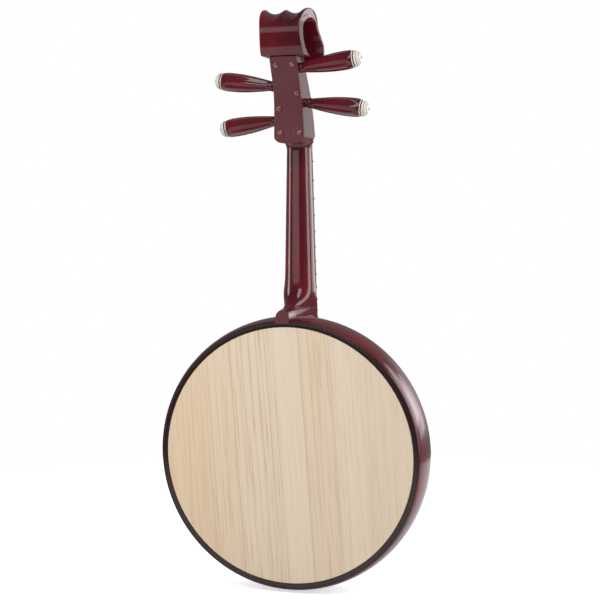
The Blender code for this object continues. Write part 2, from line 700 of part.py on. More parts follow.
def plan_block(name, inset, low, top, collection=None):
    """The box's outline from behind, extruded from front to back."""
    round_up = low + CHIN_ROUND
    ups = [round_up + (top - round_up) * k / 8 for k in range(9)]
    right = [(box_half(up) - inset, up) for up in ups]
    corner = box_half(low) - inset
    chin = []
    for k in range(8):
        a = -math.pi / 2 + math.pi / 2 * k / 8
        chin.append((corner * abs(math.cos(a)) ** 0.62, round_up + CHIN_ROUND * math.sin(a)))
    side = chin + right
    points = side + [(-x, up) for x, up in reversed(side) if x > 1e-5]
    obj = outline(name, points, BOX_BLOCK[1], collection)
    obj.matrix_world = (Matrix.Translation((0, 0, NUT_Z))
                        @ Matrix(((1, 0, 0, 0), (0, 0, -1, 0), (0, 1, 0, 0), (0, 0, 0, 1))))
    return obj


seat = offset(back_curve, PLATE_T + CLEAR)
chin_front = BODY_T - NECK_D                         # the neck's back at the nut
body_outline = (clipped(seat, BOX_LEN) + front_curve[::-1]
                + [(NUT_T, BODY_T), (0.0, BODY_T),
                   (0.0, chin_front - 0.003), (-BOX_CHIN * 0.55, chin_front - 0.011),
                   (-BOX_CHIN * 0.95, 0.0360)])
pegbox = side_block("pegbox", body_outline)
plan = plan_block("pegbox_plan_cutter", 0.0, -BOX_CHIN, BOX_LEN + CUT_OVER, CUTTERS)
boolean(pegbox, as_cutter(plan), 'INTERSECT')
pegbox = meshed(pegbox)
eased(pegbox, BOX_EDGE, 2, 40)
slot_top = BOX_LEN - SLOT_END
slot_points = []
slot_front = BODY_T + CUT_OVER
slot_back = BOX_BACK[-1][1] - CUT_OVER
for sign in (1, -1):
    slot_points += [
        (sign * SLOT_HALF_LOW, depth(slot_front), NUT_TOP_Z - SLOT_LAP),
        (sign * SLOT_HALF_LOW, depth(BODY_T + CLEAR), NUT_TOP_Z - SLOT_LAP),
        (sign * SLOT_HALF_TOP, depth(slot_front), NUT_Z + slot_top),
        (sign * SLOT_HALF_BACK, depth(slot_back), NUT_Z + SLOT_FLOOR),
        (sign * SLOT_HALF_BACK, depth(slot_back), NUT_Z + slot_top)]
boolean(pegbox, as_cutter(hull("slot_cutter", slot_points, CUTTERS)))

plate = side_block("cover_plate", back_curve + offset(back_curve, PLATE_T)[::-1])
plate_plan = plan_block("plate_plan_cutter", PLATE_IN, -BOX_CHIN, BOX_LEN - PLATE_TOP, CUTTERS)
boolean(plate, as_cutter(plate_plan), 'INTERSECT')
plate = meshed(plate)
eased(plate, PLATE_EDGE, 1, 40)

# cover plate screws, square to the plate's back: the upper ones are placed below the box's
# top end, as the pegs are, and the lower ones by a share of its length
SCREWS_HIGH = ((0.0132, 0.0140), (-0.0136, 0.0135), (-0.0162, 0.05705), (0.0150, 0.07954))
SCREWS_LOW = ((0.0145, 0.084), (-0.0178, 0.082))
screw_seats = ([(x, BOX_LEN - down) for x, down in SCREWS_HIGH]
               + [(x, BOX_LEN * share) for x, share in SCREWS_LOW])


def on_back(up):
    """Point and outward direction of the plate's back face at a height above the nut."""
    for a, b in zip(back_curve, back_curve[1:]):
        if a[0] <= up <= b[0]:
            t = (up - a[0]) / (b[0] - a[0])
            du, dd = b[0] - a[0], b[1] - a[1]
            n = math.hypot(du, dd)
            return a[1] + (b[1] - a[1]) * t, Vector((0, du / n, dd / n))
    raise ValueError(up)


for number, (x, up) in enumerate(screw_seats, start=1):
    d, outward = on_back(up)
    seat_point = Vector((x, depth(d), NUT_Z + up))
    profile = [(0, SCREW_HEAD_H), (SCREW_HEAD_R * 0.72, SCREW_HEAD_H),
               (SCREW_HEAD_R, SCREW_HEAD_H * 0.45),
               (SCREW_HEAD_R, 0), (SCREW_R, 0), (SCREW_R, -SCREW_LEN + SCREW_R),
               (0, -SCREW_LEN)]
    screw = turned("cover_screw_%d" % number, profile, SCREW_STEPS)
    turn = outward.to_track_quat('Z', 'X').to_matrix().to_4x4()
    screw.matrix_world = Matrix.Translation(seat_point + outward * CLEAR) @ turn
    finish(screw, BRASS, 0.28, 1.0)
    bore = cylinder("screw_bore_cutter", SCREW_R + CLEAR, SCREW_R + CLEAR,
                    seat_point + outward * PLATE_T,
                    seat_point - outward * (SCREW_LEN + CLEAR), SCREW_STEPS, CUTTERS)
    as_cutter(bore)
    boolean(plate, bore)
    boolean(pegbox, bore)


# Pegs
def shaft_r(s):
    """Shaft radius at s along the axis, measured outward from the collar."""
    return SHAFT_R + SHAFT_TAPER * s


def peg_ring(s, r, fluted, count=FLUTES * 4):
    ring = []
    for i in range(count):
        a = 2 * math.pi * i / count
        dip = 1 - FLUTE_DEPTH * fluted * abs(math.sin(a * FLUTES / 2)) ** 1.4
        ring.append((r * dip * math.cos(a), r * dip * math.sin(a), s))
    return ring


def make_peg(number, side, root_z, axis_depth, splay_up, gap):
    name = "peg_%d" % number
    out_half = box_half(root_z - NUT_Z)
    direction = Vector((side * math.cos(PEG_SPLAY), 0, splay_up * math.sin(PEG_SPLAY)))
    root = Vector((side * out_half, depth(axis_depth), root_z))
    start = root + direction * gap
    pose = Matrix.Translation(start) @ direction.to_track_quat('Z', 'Y').to_matrix().to_4x4()
    shaft_len = gap + (2 * out_half - FAR_WALL) / math.cos(PEG_SPLAY)
    end_s = -shaft_len
    foot = COLLAR_L + COLLAR_NECK
    widest = COLLAR_L + HANDLE_L * HANDLE_WIDEST
    stop = COLLAR_L + HANDLE_L
    rings = [peg_ring(end_s, shaft_r(end_s) - SHAFT_EDGE, 0),
             peg_ring(end_s + SHAFT_EDGE, shaft_r(end_s), 0), peg_ring(0.0, SHAFT_R, 0),
             peg_ring(SHAFT_EDGE, COLLAR_R, 0), peg_ring(COLLAR_L - SHAFT_EDGE, COLLAR_R, 0),
             peg_ring(COLLAR_L, COLLAR_R - SHAFT_EDGE, 0.1),
             peg_ring(foot, HANDLE_FOOT_R, 0.6)]
    for k in range(1, 5):
        t = k / 4
        s = foot + (widest - foot) * t
        r = HANDLE_FOOT_R + (HANDLE_R - HANDLE_FOOT_R) * math.sin(0.5 * math.pi * t)
        rings.append(peg_ring(s, r, 1.0))
    rings.append(peg_ring(widest + (stop - widest) * 0.55, HANDLE_R * 0.985, 0.9))
    rings.append(peg_ring(widest + (stop - widest) * 0.85, HANDLE_R * 0.93, 0.45))
    rings.append(peg_ring(stop, HANDLE_END_R, 0.0))
    peg = loft(name, rings)
    peg.matrix_world = pose
    finish(peg, LACQUER, 0.14)

    ring = turned(name + "_ring", [
        (0, stop + CLEAR + RING_T), (HANDLE_END_R - 0.0002, stop + CLEAR + RING_T),
        (HANDLE_END_R + 0.0002, stop + CLEAR + RING_T / 2), (HANDLE_END_R, stop + CLEAR),
        (0, stop + CLEAR)], CAP_STEPS)
    ring.matrix_world = pose
    finish(ring, IVORY, 0.3)

    base = stop + 2 * CLEAR + RING_T
    crest = base + BAND_T + CAP_L
    dome = [(0, crest + CAP_TIP), (CAP_TIP_R * 0.7, crest + CAP_TIP * 0.7), (CAP_TIP_R, crest)]
    for k in range(1, 5):
        a = math.pi / 2 * (1 - k / 4)
        dome.append((CAP_TIP_R + (HANDLE_END_R - CAP_TIP_R - CLEAR) * math.cos(a),
                     base + BAND_T + (CAP_L - CLEAR) * math.sin(a)))
    dome += [(HANDLE_END_R - CAP_IN, base), (0, base)]
    cap = turned(name + "_cap", dome, CAP_STEPS)
    cap.matrix_world = pose
    finish(cap, IVORY, 0.35)

    bore = cylinder(name + "_bore_cutter", shaft_r(-shaft_len - CLEAR) + CLEAR,
                    shaft_r(COLLAR_L) + CLEAR, start - direction * (shaft_len + CLEAR),
                    start + direction * COLLAR_L, 24, CUTTERS)
    as_cutter(bore)
    boolean(pegbox, bore)
    return start, direction, gap, out_half


pegs = []
for i in range(4):
    pegs.append(make_peg(
        i + 1, -1 if i % 2 == 0 else 1, BOX_TOP_Z - PEG_FROM_TOP - PEG_STEP * i,
        PEG_TOP_DEPTH + PEG_DEPTH_STEP * i, 1 if i < 2 else -1, PEG_GAP[i]))
finish(pegbox, LACQUER, 0.12)
finish(plate, PLATE_WOOD, 0.55)

# strings: each one wire from the bridge over the nut to its turns on the peg's shaft
for i, (start, direction, gap, out_half) in enumerate(pegs):
    r = STRING_R[i]
    first = -(gap + (out_half - WIND_AT[i]) / math.cos(PEG_SPLAY))
    axis_point = start + direction * first
    around = shaft_r(first) + CLEAR + r
    edge = Vector((string_u[i], nut_string_y, NUT_TOP_Z))
    run = axis_point - edge
    run -= direction * run.dot(direction)
    lift = math.asin(around / run.length)
    front = direction.cross(run).normalized()
    if front.y > 0:
        front.negate()
    heading = run.normalized() * math.cos(lift) + front * math.sin(lift)
    radial = front * math.cos(lift) - run.normalized() * math.sin(lift)
    points = [(bridge_u[i], bridge_string_y, BRIDGE_Z - BRIDGE_W * 0.8),
              (bridge_u[i], bridge_string_y, BRIDGE_Z + 0.001),
              (string_u[i], nut_string_y, NUT_Z + 0.001), tuple(edge)]
    turns = []
    total = WIND_TURNS * WIND_POINTS
    for k in range(total + 1):
        a = 2 * math.pi * k / WIND_POINTS
        s = first - WIND_PITCH * k / WIND_POINTS
        out = shaft_r(s) + CLEAR + r
        turns.append(start + direction * s
                     + (radial * math.cos(a) + heading * math.sin(a)) * out)
    least = min((turns[j] - turns[k]).length for j in range(len(turns))
                for k in range(j + WIND_POINTS // 2, len(turns)))
    to_lead = min((turns[k] - (edge + (turns[0] - edge) * t / 200)).length
                  for k in range(WIND_POINTS // 2, total + 1) for t in range(201))
    print("string_%d: least gap between its turns %.2f mm, to its lead %.2f mm"
          % (i + 1, 1000 * (least - 2 * r), 1000 * (to_lead - 2 * r)))
    string = tube("string_%d" % (i + 1), points + [tuple(p) for p in turns], r)
    finish(string, STEEL, 0.35, 1.0)


# Head
def flute_dip(share):
    """Depth of the two flutes at a share of the half width, as a share of their depth."""
    along = abs(share) / HEAD_FLUTE_EDGE
    if along >= 1:
        return 0.0
    mid = HEAD_MID_DROP / HEAD_FLUTE_DEPTH * (1 - along) ** 2
    return math.sin(math.pi * along) ** 1.25 * (1 - mid) + mid


def head_ring(station):
    """Section across the hood: fluted outer face, eased ends, inner face."""
    ou, od, iu, idp, hw, fluted = station
    du, dd = iu - ou, idp - od
    thick = math.hypot(du, dd)
    ease = min(HEAD_EDGE, thick * 0.22)
    flutes = max(fluted, 0.0) * HEAD_FLUTE_DEPTH
    ring = []
    for i in range(HEAD_ACROSS + 1):
        share = 1 - 2 * i / HEAD_ACROSS
        ring.append((share * (hw - ease), flute_dip(share) * flutes))
    ring += [(-hw + ease * 0.3, ease * 0.3), (-hw, ease), (-hw, thick - ease),
             (-hw + ease * 0.3, thick - ease * 0.3), (-hw + ease, thick), (0, thick),
             (hw - ease, thick), (hw - ease * 0.3, thick - ease * 0.3), (hw, thick - ease),
             (hw, ease), (hw - ease * 0.3, ease * 0.3)]
    return [(x, depth(od + dd * t / thick), BOX_TOP_Z + CLEAR + ou + du * t / thick)
            for x, t in ring]


flat = [(o[0], o[1], n[0], n[1], w, f) for o, n, w, f in HEAD_STATIONS]
head = loft("head", [head_ring(s) for s in smooth_path(flat, 2)])
# notches that part the front panel's lower edge into lobes
for side in (1, -1):
    x, z = side * LOBE_NOTCH_X, BOX_TOP_Z + LOBE_NOTCH_UP
    notch = cylinder("lobe_notch_cutter", LOBE_NOTCH_R, LOBE_NOTCH_R,
                     (x, depth(LOBE_NOTCH_D[0]), z), (x, depth(LOBE_NOTCH_D[1]), z), 20, CUTTERS)
    boolean(head, as_cutter(notch))
finish(head, LACQUER, 0.12)
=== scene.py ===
"""Zhongruan seen from behind: a red-lacquered round-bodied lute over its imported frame.

Metres, +Z up the neck, the back board facing +Y, pegs 1 and 3 on the -X side.
"""
import math

import bmesh
import bpy
from bpy.props import FloatProperty, FloatVectorProperty, IntProperty, PointerProperty
from mathutils import Matrix, Vector


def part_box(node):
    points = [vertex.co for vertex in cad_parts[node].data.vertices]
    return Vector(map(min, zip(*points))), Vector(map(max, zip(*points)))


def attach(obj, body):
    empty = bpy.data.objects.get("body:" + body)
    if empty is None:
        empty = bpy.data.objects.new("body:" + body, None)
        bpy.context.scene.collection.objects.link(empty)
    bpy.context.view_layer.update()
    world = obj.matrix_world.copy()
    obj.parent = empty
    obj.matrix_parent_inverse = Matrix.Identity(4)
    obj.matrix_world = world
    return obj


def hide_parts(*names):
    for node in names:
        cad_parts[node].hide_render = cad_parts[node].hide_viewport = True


bl_info = {
    "name": "Zhongruan",
    "version": (1, 0, 0),
    "blender": (4, 5, 0),
    "location": "3D View > Sidebar > Zhongruan",
    "description": "Dresses a lacquered zhongruan, its fluted pegs and its boards over the packed frame",
    "category": "Add Mesh",
}

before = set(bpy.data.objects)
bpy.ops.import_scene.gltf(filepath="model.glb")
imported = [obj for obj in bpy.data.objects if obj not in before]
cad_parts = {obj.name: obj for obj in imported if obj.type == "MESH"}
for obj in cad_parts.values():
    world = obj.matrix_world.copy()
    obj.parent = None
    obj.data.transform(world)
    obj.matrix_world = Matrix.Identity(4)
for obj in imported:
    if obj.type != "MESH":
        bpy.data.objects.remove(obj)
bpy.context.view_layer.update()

# Places taken from the frame
RIM_LOW, RIM_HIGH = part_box("rim")
BACK_Y = RIM_HIGH.y
FRONT_Y = RIM_LOW.y
HALF_T = (BACK_Y - FRONT_Y) / 2
MAX_R = (RIM_HIGH.z - RIM_LOW.z) / 2
CENTRE_Z = (RIM_HIGH.z + RIM_LOW.z) / 2
BOARD_R = (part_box("back_board")[1].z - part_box("back_board")[0].z) / 2
GAP = 0.0003
NUT_Z = 0.7241            # the nut's playing edge
BOX_LEN = 0.1285          # pegbox, from the nut to its top end
BOX_TOP_Z = NUT_Z + BOX_LEN
NUT_T = 0.006


def linear(code):
    """A hex colour as linear red, green and blue."""
    parts = [int(code[i:i + 2], 16) / 255 for i in (0, 2, 4)]
    return tuple(p / 12.92 if p <= 0.04045 else ((p + 0.055) / 1.055) ** 2.4 for p in parts)


# Sizes and colours that a user would change
def length(name, description, default):
    return FloatProperty(name=name, description=description, default=default, unit='LENGTH',
                         min=0.0, precision=5)


def colour(name, description, code):
    return FloatVectorProperty(name=name, description=description, default=linear(code),
                               subtype='COLOR', size=3, min=0.0, max=1.0)


class ZhongruanBody(bpy.types.PropertyGroup):
    lip: length("Lip width", "Flat lip of the rim round each board", 0.0092)
    bulge: length("Side swell", "How far the rim's side swells past the lip", 0.0066)
    lip_line: length("Lip line", "Fine cut line in the lip, this far in from its edge", 0.0018)
    steps: IntProperty(name="Steps", description="Steps round the body", default=320, min=64)


class ZhongruanPegs(bpy.types.PropertyGroup):
    flutes: IntProperty(name="Flutes", description="Flutes round a peg's handle", default=8, min=5)
    flute_depth: FloatProperty(name="Flute depth", description="As a share of the radius",
                               default=0.10, min=0.0, max=0.3)
    cap_rays: IntProperty(name="Cap rays", description="Carved rays round a bone cap",
                          default=20, min=6)
    cap_cut: length("Cap cut", "Depth of the carving in a bone cap", 0.0005)


class ZhongruanHead(bpy.types.PropertyGroup):
    flute_depth: length("Flute depth", "Depth of the two gouged flutes over the hood", 0.0078)
    mid_drop: length("Middle ridge drop", "The middle ridge stands this much lower", 0.0016)


class ZhongruanFinish(bpy.types.PropertyGroup):
    lacquer: colour("Lacquer", "Deep red of the lacquered hardwood", "64121d")
    lacquer_dark: colour("Lacquer grain", "Its dark grain", "3c0b14")
    # the lips' near-black colour is partly painted shade, for the dark room that they mirror
    lip: colour("Lip colour and painted shade", "Near-black colour of the rim's flat lips, partly painted shade", "220d0b")
    plate: colour("Plate wood", "Thinly finished red-brown wood of the cover plate", "622b32")
    board: colour("Paulownia", "Pale wood of the two boards", "e1d1bb")
    board_warm: colour("Paulownia, warm", "Warm close-grained strips of the boards", "dac1a3")
    board_line: colour("Paulownia, latewood", "Its thin brown growth lines", "b9946a")
    blackwood: colour("Blackwood", "Fingerboard", "241411")
    bone: colour("Bone", "Nut, rings and peg caps", "dedbd0")
    # the caps' colour darkens in their carved grooves
    bone_dark: colour("Bone, grooves", "Darker colour in the carving of the caps", "8e8a80")
    brass: colour("Brass", "Frets", "d8b878")
    screw_brass: colour("Old brass", "Cover plate screws", "b98474")
    steel: colour("Steel", "Strings", "b8b8b4")


# Materials
def add(tree, kind, feeds=(), values=(), **settings):
    """Adds a node with its settings, the values of its sockets and the links that feed it."""
    made = tree.nodes.new(kind)
    for key, value in settings.items():
        setattr(made, key, value)
    for socket, value in dict(values).items():
        made.inputs[socket].default_value = value
    for socket, source in dict(feeds).items():
        tree.links.new(source, made.inputs[socket])
    return made


def new_material(name, **values):
    """A Principled material; values are its sockets, with _ for a space."""
    mat = bpy.data.materials.new(name)
    mat.use_nodes = True
    shader = mat.node_tree.nodes["Principled BSDF"]
    for key, value in values.items():
        shader.inputs[key.replace("_", " ")].default_value = value
    return mat, mat.node_tree, shader


def ramp(tree, source, stops):
    """A colour ramp over (place, colour) stops."""
    made = add(tree, "ShaderNodeValToRGB", {0: source})
    points = made.color_ramp.elements
    while len(points) < len(stops):
        points.new(0.5)
    for point, (place, value) in zip(points, stops):
        point.position = place
        point.color = (*value, 1.0) if len(value) == 3 else value
    return made.outputs[0]


def grey(value):
    return (value, value, value)


def lacquered_redwood(name, lipped=False):
    """Stained hardwood under rubbed lacquer: a deep red body colour with dark pores below a
    hard clear gloss, which mirrors the room in long clean streaks."""
    look = bpy.context.scene.zhongruan_finish
    mat, tree, shader = new_material(name, Roughness=0.38, IOR=1.5, Coat_Weight=1.0,
                                     Specular_IOR_Level=0.08, Coat_IOR=1.5,
                                     Coat_Roughness=0.15 if lipped else 0.055)
    place = add(tree, "ShaderNodeTexCoord").outputs["Object"]
    # pores of 0.6 mm by 25 mm, drawn at 2 mm by 60 mm, because finer ones don't show
    grain = add(tree, "ShaderNodeMapping", {"Vector": place},
                {"Scale": (480.0, 480.0, 16.0)}).outputs[0]
    pores = add(tree, "ShaderNodeTexNoise", {"Vector": grain},
                {"Scale": 1.0, "Detail": 5.0, "Roughness": 0.6}).outputs["Fac"]
    # cloudy depth of the stain, 60 mm across
    cloud = add(tree, "ShaderNodeTexNoise", {"Vector": place},
                {"Scale": 16.0, "Detail": 2.0}).outputs["Fac"]
    shade = add(tree, "ShaderNodeMath", {0: pores, 1: cloud}, operation='MULTIPLY')
    hue = ramp(tree, shade.outputs[0], [(0.12, look.lacquer_dark), (0.34, look.lacquer)])
    if lipped:
        # the flat lips round the boards are coloured nearly black, a darker brown deepened by painted
        # shade
        parts = add(tree, "ShaderNodeSeparateXYZ", {0: place})
        out = add(tree, "ShaderNodeMath", {0: parts.outputs["Y"]}, operation='ABSOLUTE')
        lip = add(tree, "ShaderNodeMapRange", {0: out.outputs[0]},
                  {1: HALF_T - 0.0007, 2: HALF_T - 0.0002}).outputs[0]
        hue = add(tree, "ShaderNodeMix", {0: lip, 6: hue}, {7: (*look.lip, 1.0)},
                  data_type='RGBA').outputs[2]
    tree.links.new(hue, shader.inputs["Base Color"])
    # the lacquer's slight waviness, 18 mm across and a few hundredths of a millimetre deep
    wave = add(tree, "ShaderNodeTexNoise", {"Vector": place},
               {"Scale": 55.0, "Detail": 1.0}).outputs["Fac"]
    bump = add(tree, "ShaderNodeBump", {"Height": wave},
               {"Strength": 0.02 if lipped else 0.05, "Distance": 0.002}).outputs[0]
    tree.links.new(bump, shader.inputs["Coat Normal"])
    return mat


def matt_redwood(name):
    """The same wood with a thin rubbed finish: browner, with a soft broad sheen and open
    grain that stays visible."""
    look = bpy.context.scene.zhongruan_finish
    mat, tree, shader = new_material(name, IOR=1.5, Roughness=0.42)
    place = add(tree, "ShaderNodeTexCoord").outputs["Object"]
    # grain 1.5 mm wide and 50 mm long
    grain = add(tree, "ShaderNodeMapping", {"Vector": place},
                {"Scale": (620.0, 620.0, 20.0)}).outputs[0]
    lines = add(tree, "ShaderNodeTexNoise", {"Vector": grain},
                {"Scale": 1.0, "Detail": 6.0, "Roughness": 0.65}).outputs["Fac"]
    hue = ramp(tree, lines, [(0.3, tuple(c * 0.62 for c in look.plate)), (0.62, look.plate)])
    tree.links.new(hue, shader.inputs["Base Color"])
    rough = ramp(tree, lines, [(0.3, grey(0.52)), (0.7, grey(0.38))])
    tree.links.new(rough, shader.inputs["Roughness"])
    bump = add(tree, "ShaderNodeBump", {"Height": lines},
               {"Strength": 0.25, "Distance": 0.0003}).outputs[0]
    tree.links.new(bump, shader.inputs["Normal"])
    return mat


# Strips of the back board: (place across the board in metres, how warm, how strongly lined)
BACK_STRIPS = (
    (-0.206, 0.92, 0.55), (-0.125, 0.55, 0.60), (-0.085, 0.32, 0.85), (-0.010, 0.10, 0.20),
    (0.032, 0.42, 0.70), (0.082, 0.15, 0.35), (0.128, 0.42, 0.35), (0.160, 0.40, 0.35),
)
FRONT_STRIPS = (
    (-0.206, 0.2, 0.6), (-0.150, 0.3, 0.8), (-0.085, 0.1, 0.7), (-0.030, 0.25, 0.8),
    (0.030, 0.1, 0.7), (0.085, 0.3, 0.8), (0.150, 0.2, 0.6), (0.190, 0.1, 0.5),
)


def paulownia(name, strips, lean, mirrored):
    """Planed, unfinished paulownia in glued strips: pale, dry and straight-grained, with thin
    brown growth lines that stop at each glue line."""
    look = bpy.context.scene.zhongruan_finish
    mat, tree, shader = new_material(name, IOR=1.45, Roughness=0.62)
    place = add(tree, "ShaderNodeTexCoord").outputs["Object"]
    side = -1.0 if mirrored else 1.0
    turned = add(tree, "ShaderNodeMapping", {"Vector": place},
                 {"Scale": (side, 1.0, 1.0)}).outputs[0]
    parts = add(tree, "ShaderNodeSeparateXYZ", {0: turned})
    # distance across the grain: x and height, leaned by the grain's slope
    height = add(tree, "ShaderNodeMath", {0: parts.outputs["Z"]}, {1: CENTRE_Z},
                 operation='SUBTRACT').outputs[0]
    across = add(tree, "ShaderNodeMath", {0: height, 2: parts.outputs["X"]}, {1: lean},
                 operation='MULTIPLY_ADD').outputs[0]
    spread = add(tree, "ShaderNodeMapRange", {0: across},
                 {1: -0.206, 2: 0.206, 3: 0.0, 4: 1.0}).outputs[0]
    warm_stops, line_stops, key_stops, seam_stops = [], [], [], []
    for k, (edge, warm, lines) in enumerate(strips):
        at = max((edge + 0.206) / 0.412, 0.0)
        warm_stops.append((at, grey(warm)))
        line_stops.append((at, grey(lines)))
        key_stops.append((at, grey((k * 0.37) % 1.0)))
        if k:
            seam_stops += [(at - 0.0022, grey(0.0)), (at, grey(lines)), (at + 0.0022, grey(0.0))]
    warm = ramp(tree, spread, warm_stops)
    strength = ramp(tree, spread, line_stops)
    key = ramp(tree, spread, key_stops)
    for made in (warm, strength, key):
        made.node.color_ramp.interpolation = 'CONSTANT'
    seam = ramp(tree, spread, seam_stops)
    # growth lines 2 to 6 mm apart, nearly straight along the strip
    drift = add(tree, "ShaderNodeCombineXYZ", {0: across, 1: key, 2: height})
    grain = add(tree, "ShaderNodeMapping", {"Vector": drift.outputs[0]},
                {"Scale": (1.0, 9.0, 0.012)}).outputs[0]
    rings = add(tree, "ShaderNodeTexNoise", {"Vector": grain},
                {"Scale": 230.0, "Detail": 3.0, "Roughness": 0.55}).outputs["Fac"]
    fine = add(tree, "ShaderNodeTexNoise", {"Vector": grain},
               {"Scale": 900.0, "Detail": 3.0, "Roughness": 0.7}).outputs["Fac"]
    broad = add(tree, "ShaderNodeTexNoise", {"Vector": grain},
                {"Scale": 42.0, "Detail": 2.0}).outputs["Fac"]
    late = ramp(tree, rings, [(0.52, grey(0.0)), (0.57, grey(0.7)), (0.60, grey(0.0))])
    lines = add(tree, "ShaderNodeMath", {0: late, 1: strength}, operation='MULTIPLY').outputs[0]
    lines = add(tree, "ShaderNodeMath", {0: lines, 1: seam}, operation='MAXIMUM').outputs[0]
    tone = add(tree, "ShaderNodeMath", {0: broad, 2: warm}, {1: 0.4},
               operation='MULTIPLY_ADD').outputs[0]
    tone = add(tree, "ShaderNodeMath", {0: tone}, {1: 0.2}, operation='SUBTRACT',
               use_clamp=True).outputs[0]
    body = add(tree, "ShaderNodeMix", {0: tone},
               {6: (*look.board, 1.0), 7: (*look.board_warm, 1.0)}, data_type='RGBA').outputs[2]
    lined = add(tree, "ShaderNodeMix", {0: lines, 6: body}, {7: (*look.board_line, 1.0)},
                data_type='RGBA').outputs[2]
    speck = ramp(tree, fine, [(0.3, grey(0.94)), (0.62, grey(1.0))])
    hue = add(tree, "ShaderNodeMix", {6: lined, 7: speck}, {0: 1.0}, data_type='RGBA',
              blend_type='MULTIPLY').outputs[2]
    tree.links.new(hue, shader.inputs["Base Color"])
    bump = add(tree, "ShaderNodeBump", {"Height": rings},
               {"Strength": 0.15, "Distance": 0.0002}).outputs[0]
    tree.links.new(bump, shader.inputs["Normal"])
    return mat


def polished_blackwood(name):
    """Oiled blackwood: nearly black, with faint brown grain and a dull polish."""
    look = bpy.context.scene.zhongruan_finish
    mat, tree, shader = new_material(name, IOR=1.5, Roughness=0.36)
    place = add(tree, "ShaderNodeTexCoord").outputs["Object"]
    grain = add(tree, "ShaderNodeMapping", {"Vector": place},
                {"Scale": (700.0, 700.0, 18.0)}).outputs[0]
    lines = add(tree, "ShaderNodeTexNoise", {"Vector": grain},
                {"Scale": 1.0, "Detail": 5.0}).outputs["Fac"]
    hue = ramp(tree, lines, [(0.35, tuple(c * 0.5 for c in look.blackwood)),
                             (0.7, tuple(c * 1.7 for c in look.blackwood))])
    tree.links.new(hue, shader.inputs["Base Color"])
    bump = add(tree, "ShaderNodeBump", {"Height": lines},
               {"Strength": 0.12, "Distance": 0.0002}).outputs[0]
    tree.links.new(bump, shader.inputs["Normal"])
    return mat


def carved_bone(name):
    """Polished bone, darker where the carver cut it: creamy, slightly translucent, with a
    darker grey-brown in each groove. The groove attribute is 1 at the bottom of a cut."""
    look = bpy.context.scene.zhongruan_finish
    mat, tree, shader = new_material(name, IOR=1.54, Roughness=0.3, Subsurface_Weight=0.08,
                                     Subsurface_Scale=0.003)
    place = add(tree, "ShaderNodeTexCoord").outputs["Object"]
    # bone's faint streaks, 1 mm apart
    streak = add(tree, "ShaderNodeTexNoise", {"Vector": place},
                 {"Scale": 700.0, "Detail": 3.0}).outputs["Fac"]
    body = ramp(tree, streak, [(0.3, tuple(c * 0.9 for c in look.bone)), (0.65, look.bone)])
    # the colour darkens towards the bottom of each cut
    cut = add(tree, "ShaderNodeAttribute", attribute_name="groove").outputs["Fac"]
    hue = add(tree, "ShaderNodeMix", {0: cut, 6: body}, {7: (*look.bone_dark, 1.0)},
              data_type='RGBA').outputs[2]
    tree.links.new(hue, shader.inputs["Base Color"])
    rough = ramp(tree, cut, [(0.0, grey(0.26)), (1.0, grey(0.6))])
    tree.links.new(rough, shader.inputs["Roughness"])
    return mat


def drawn_metal(name, tint, roughness, streak_scale):
    """Drawn wire or turned metal: a clear metal colour with fine tool marks that spread its
    highlights a little."""
    mat, tree, shader = new_material(name, Metallic=1.0, Roughness=roughness)
    place = add(tree, "ShaderNodeTexCoord").outputs["Object"]
    marks = add(tree, "ShaderNodeMapping", {"Vector": place},
                {"Scale": streak_scale}).outputs[0]
    noise = add(tree, "ShaderNodeTexNoise", {"Vector": marks},
                {"Scale": 1.0, "Detail": 3.0}).outputs["Fac"]
    hue = ramp(tree, noise, [(0.3, tuple(c * 0.72 for c in tint)), (0.65, tint)])
    tree.links.new(hue, shader.inputs["Base Color"])
    rough = ramp(tree, noise, [(0.3, grey(roughness * 1.35)), (0.7, grey(roughness * 0.8))])
    tree.links.new(rough, shader.inputs["Roughness"])
    return mat


def wound_steel(name):
    """Steel core under a tight flat-wire winding: bright bands with dark lines of painted shade between.
    """
    look = bpy.context.scene.zhongruan_finish
    mat, tree, shader = new_material(name, Metallic=1.0, Roughness=0.3)
    # turns of 0.3 mm wire, drawn 0.9 mm apart so that they show
    turns = add(tree, "ShaderNodeTexWave", {"Vector": add(tree, "ShaderNodeTexCoord").outputs[
        "Object"]}, {"Scale": 350.0}, bands_direction='Z').outputs["Fac"]
    # painted shade: the colour darkens in the grooves between the turns
    hue = ramp(tree, turns, [(0.1, tuple(c * 0.45 for c in look.steel)), (0.5, look.steel)])
    tree.links.new(hue, shader.inputs["Base Color"])
    bump = add(tree, "ShaderNodeBump", {"Height": turns},
               {"Strength": 0.4, "Distance": 0.0002}).outputs[0]
    tree.links.new(bump, shader.inputs["Normal"])
    return mat


def kept(maker, name, *rest):
    """The material of that name, made the first time that it is asked for."""
    return bpy.data.materials.get(name) or maker(name, *rest)


def lacquer():
    return kept(lacquered_redwood, "lacquered redwood")


def bone():
    return kept(carved_bone, "polished bone")


# Mesh helpers
def piece(name, bm, mat, body="root", hides=(), sharp=40.0):
    """Makes the bmesh a piece that rides on a body and stands for the CAD nodes it hides."""
    bmesh.ops.remove_doubles(bm, verts=bm.verts, dist=1e-6)
    bmesh.ops.recalc_face_normals(bm, faces=bm.faces)
    mesh = bpy.data.meshes.new(name)
    bm.to_mesh(mesh)
    bm.free()
    made = bpy.data.objects.new(name, mesh)
    bpy.context.scene.collection.objects.link(made)
    mesh.materials.append(mat)
    mesh.shade_smooth()
    mesh.set_sharp_from_angle(angle=math.radians(sharp))
    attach(made, body)
    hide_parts(*hides)
    return made


def loop(bm, points):
    """A closed loop of edges through the points."""
    verts = [bm.verts.new(p) for p in points]
    return [bm.edges.new(pair) for pair in zip(verts, verts[1:] + verts[:1])]


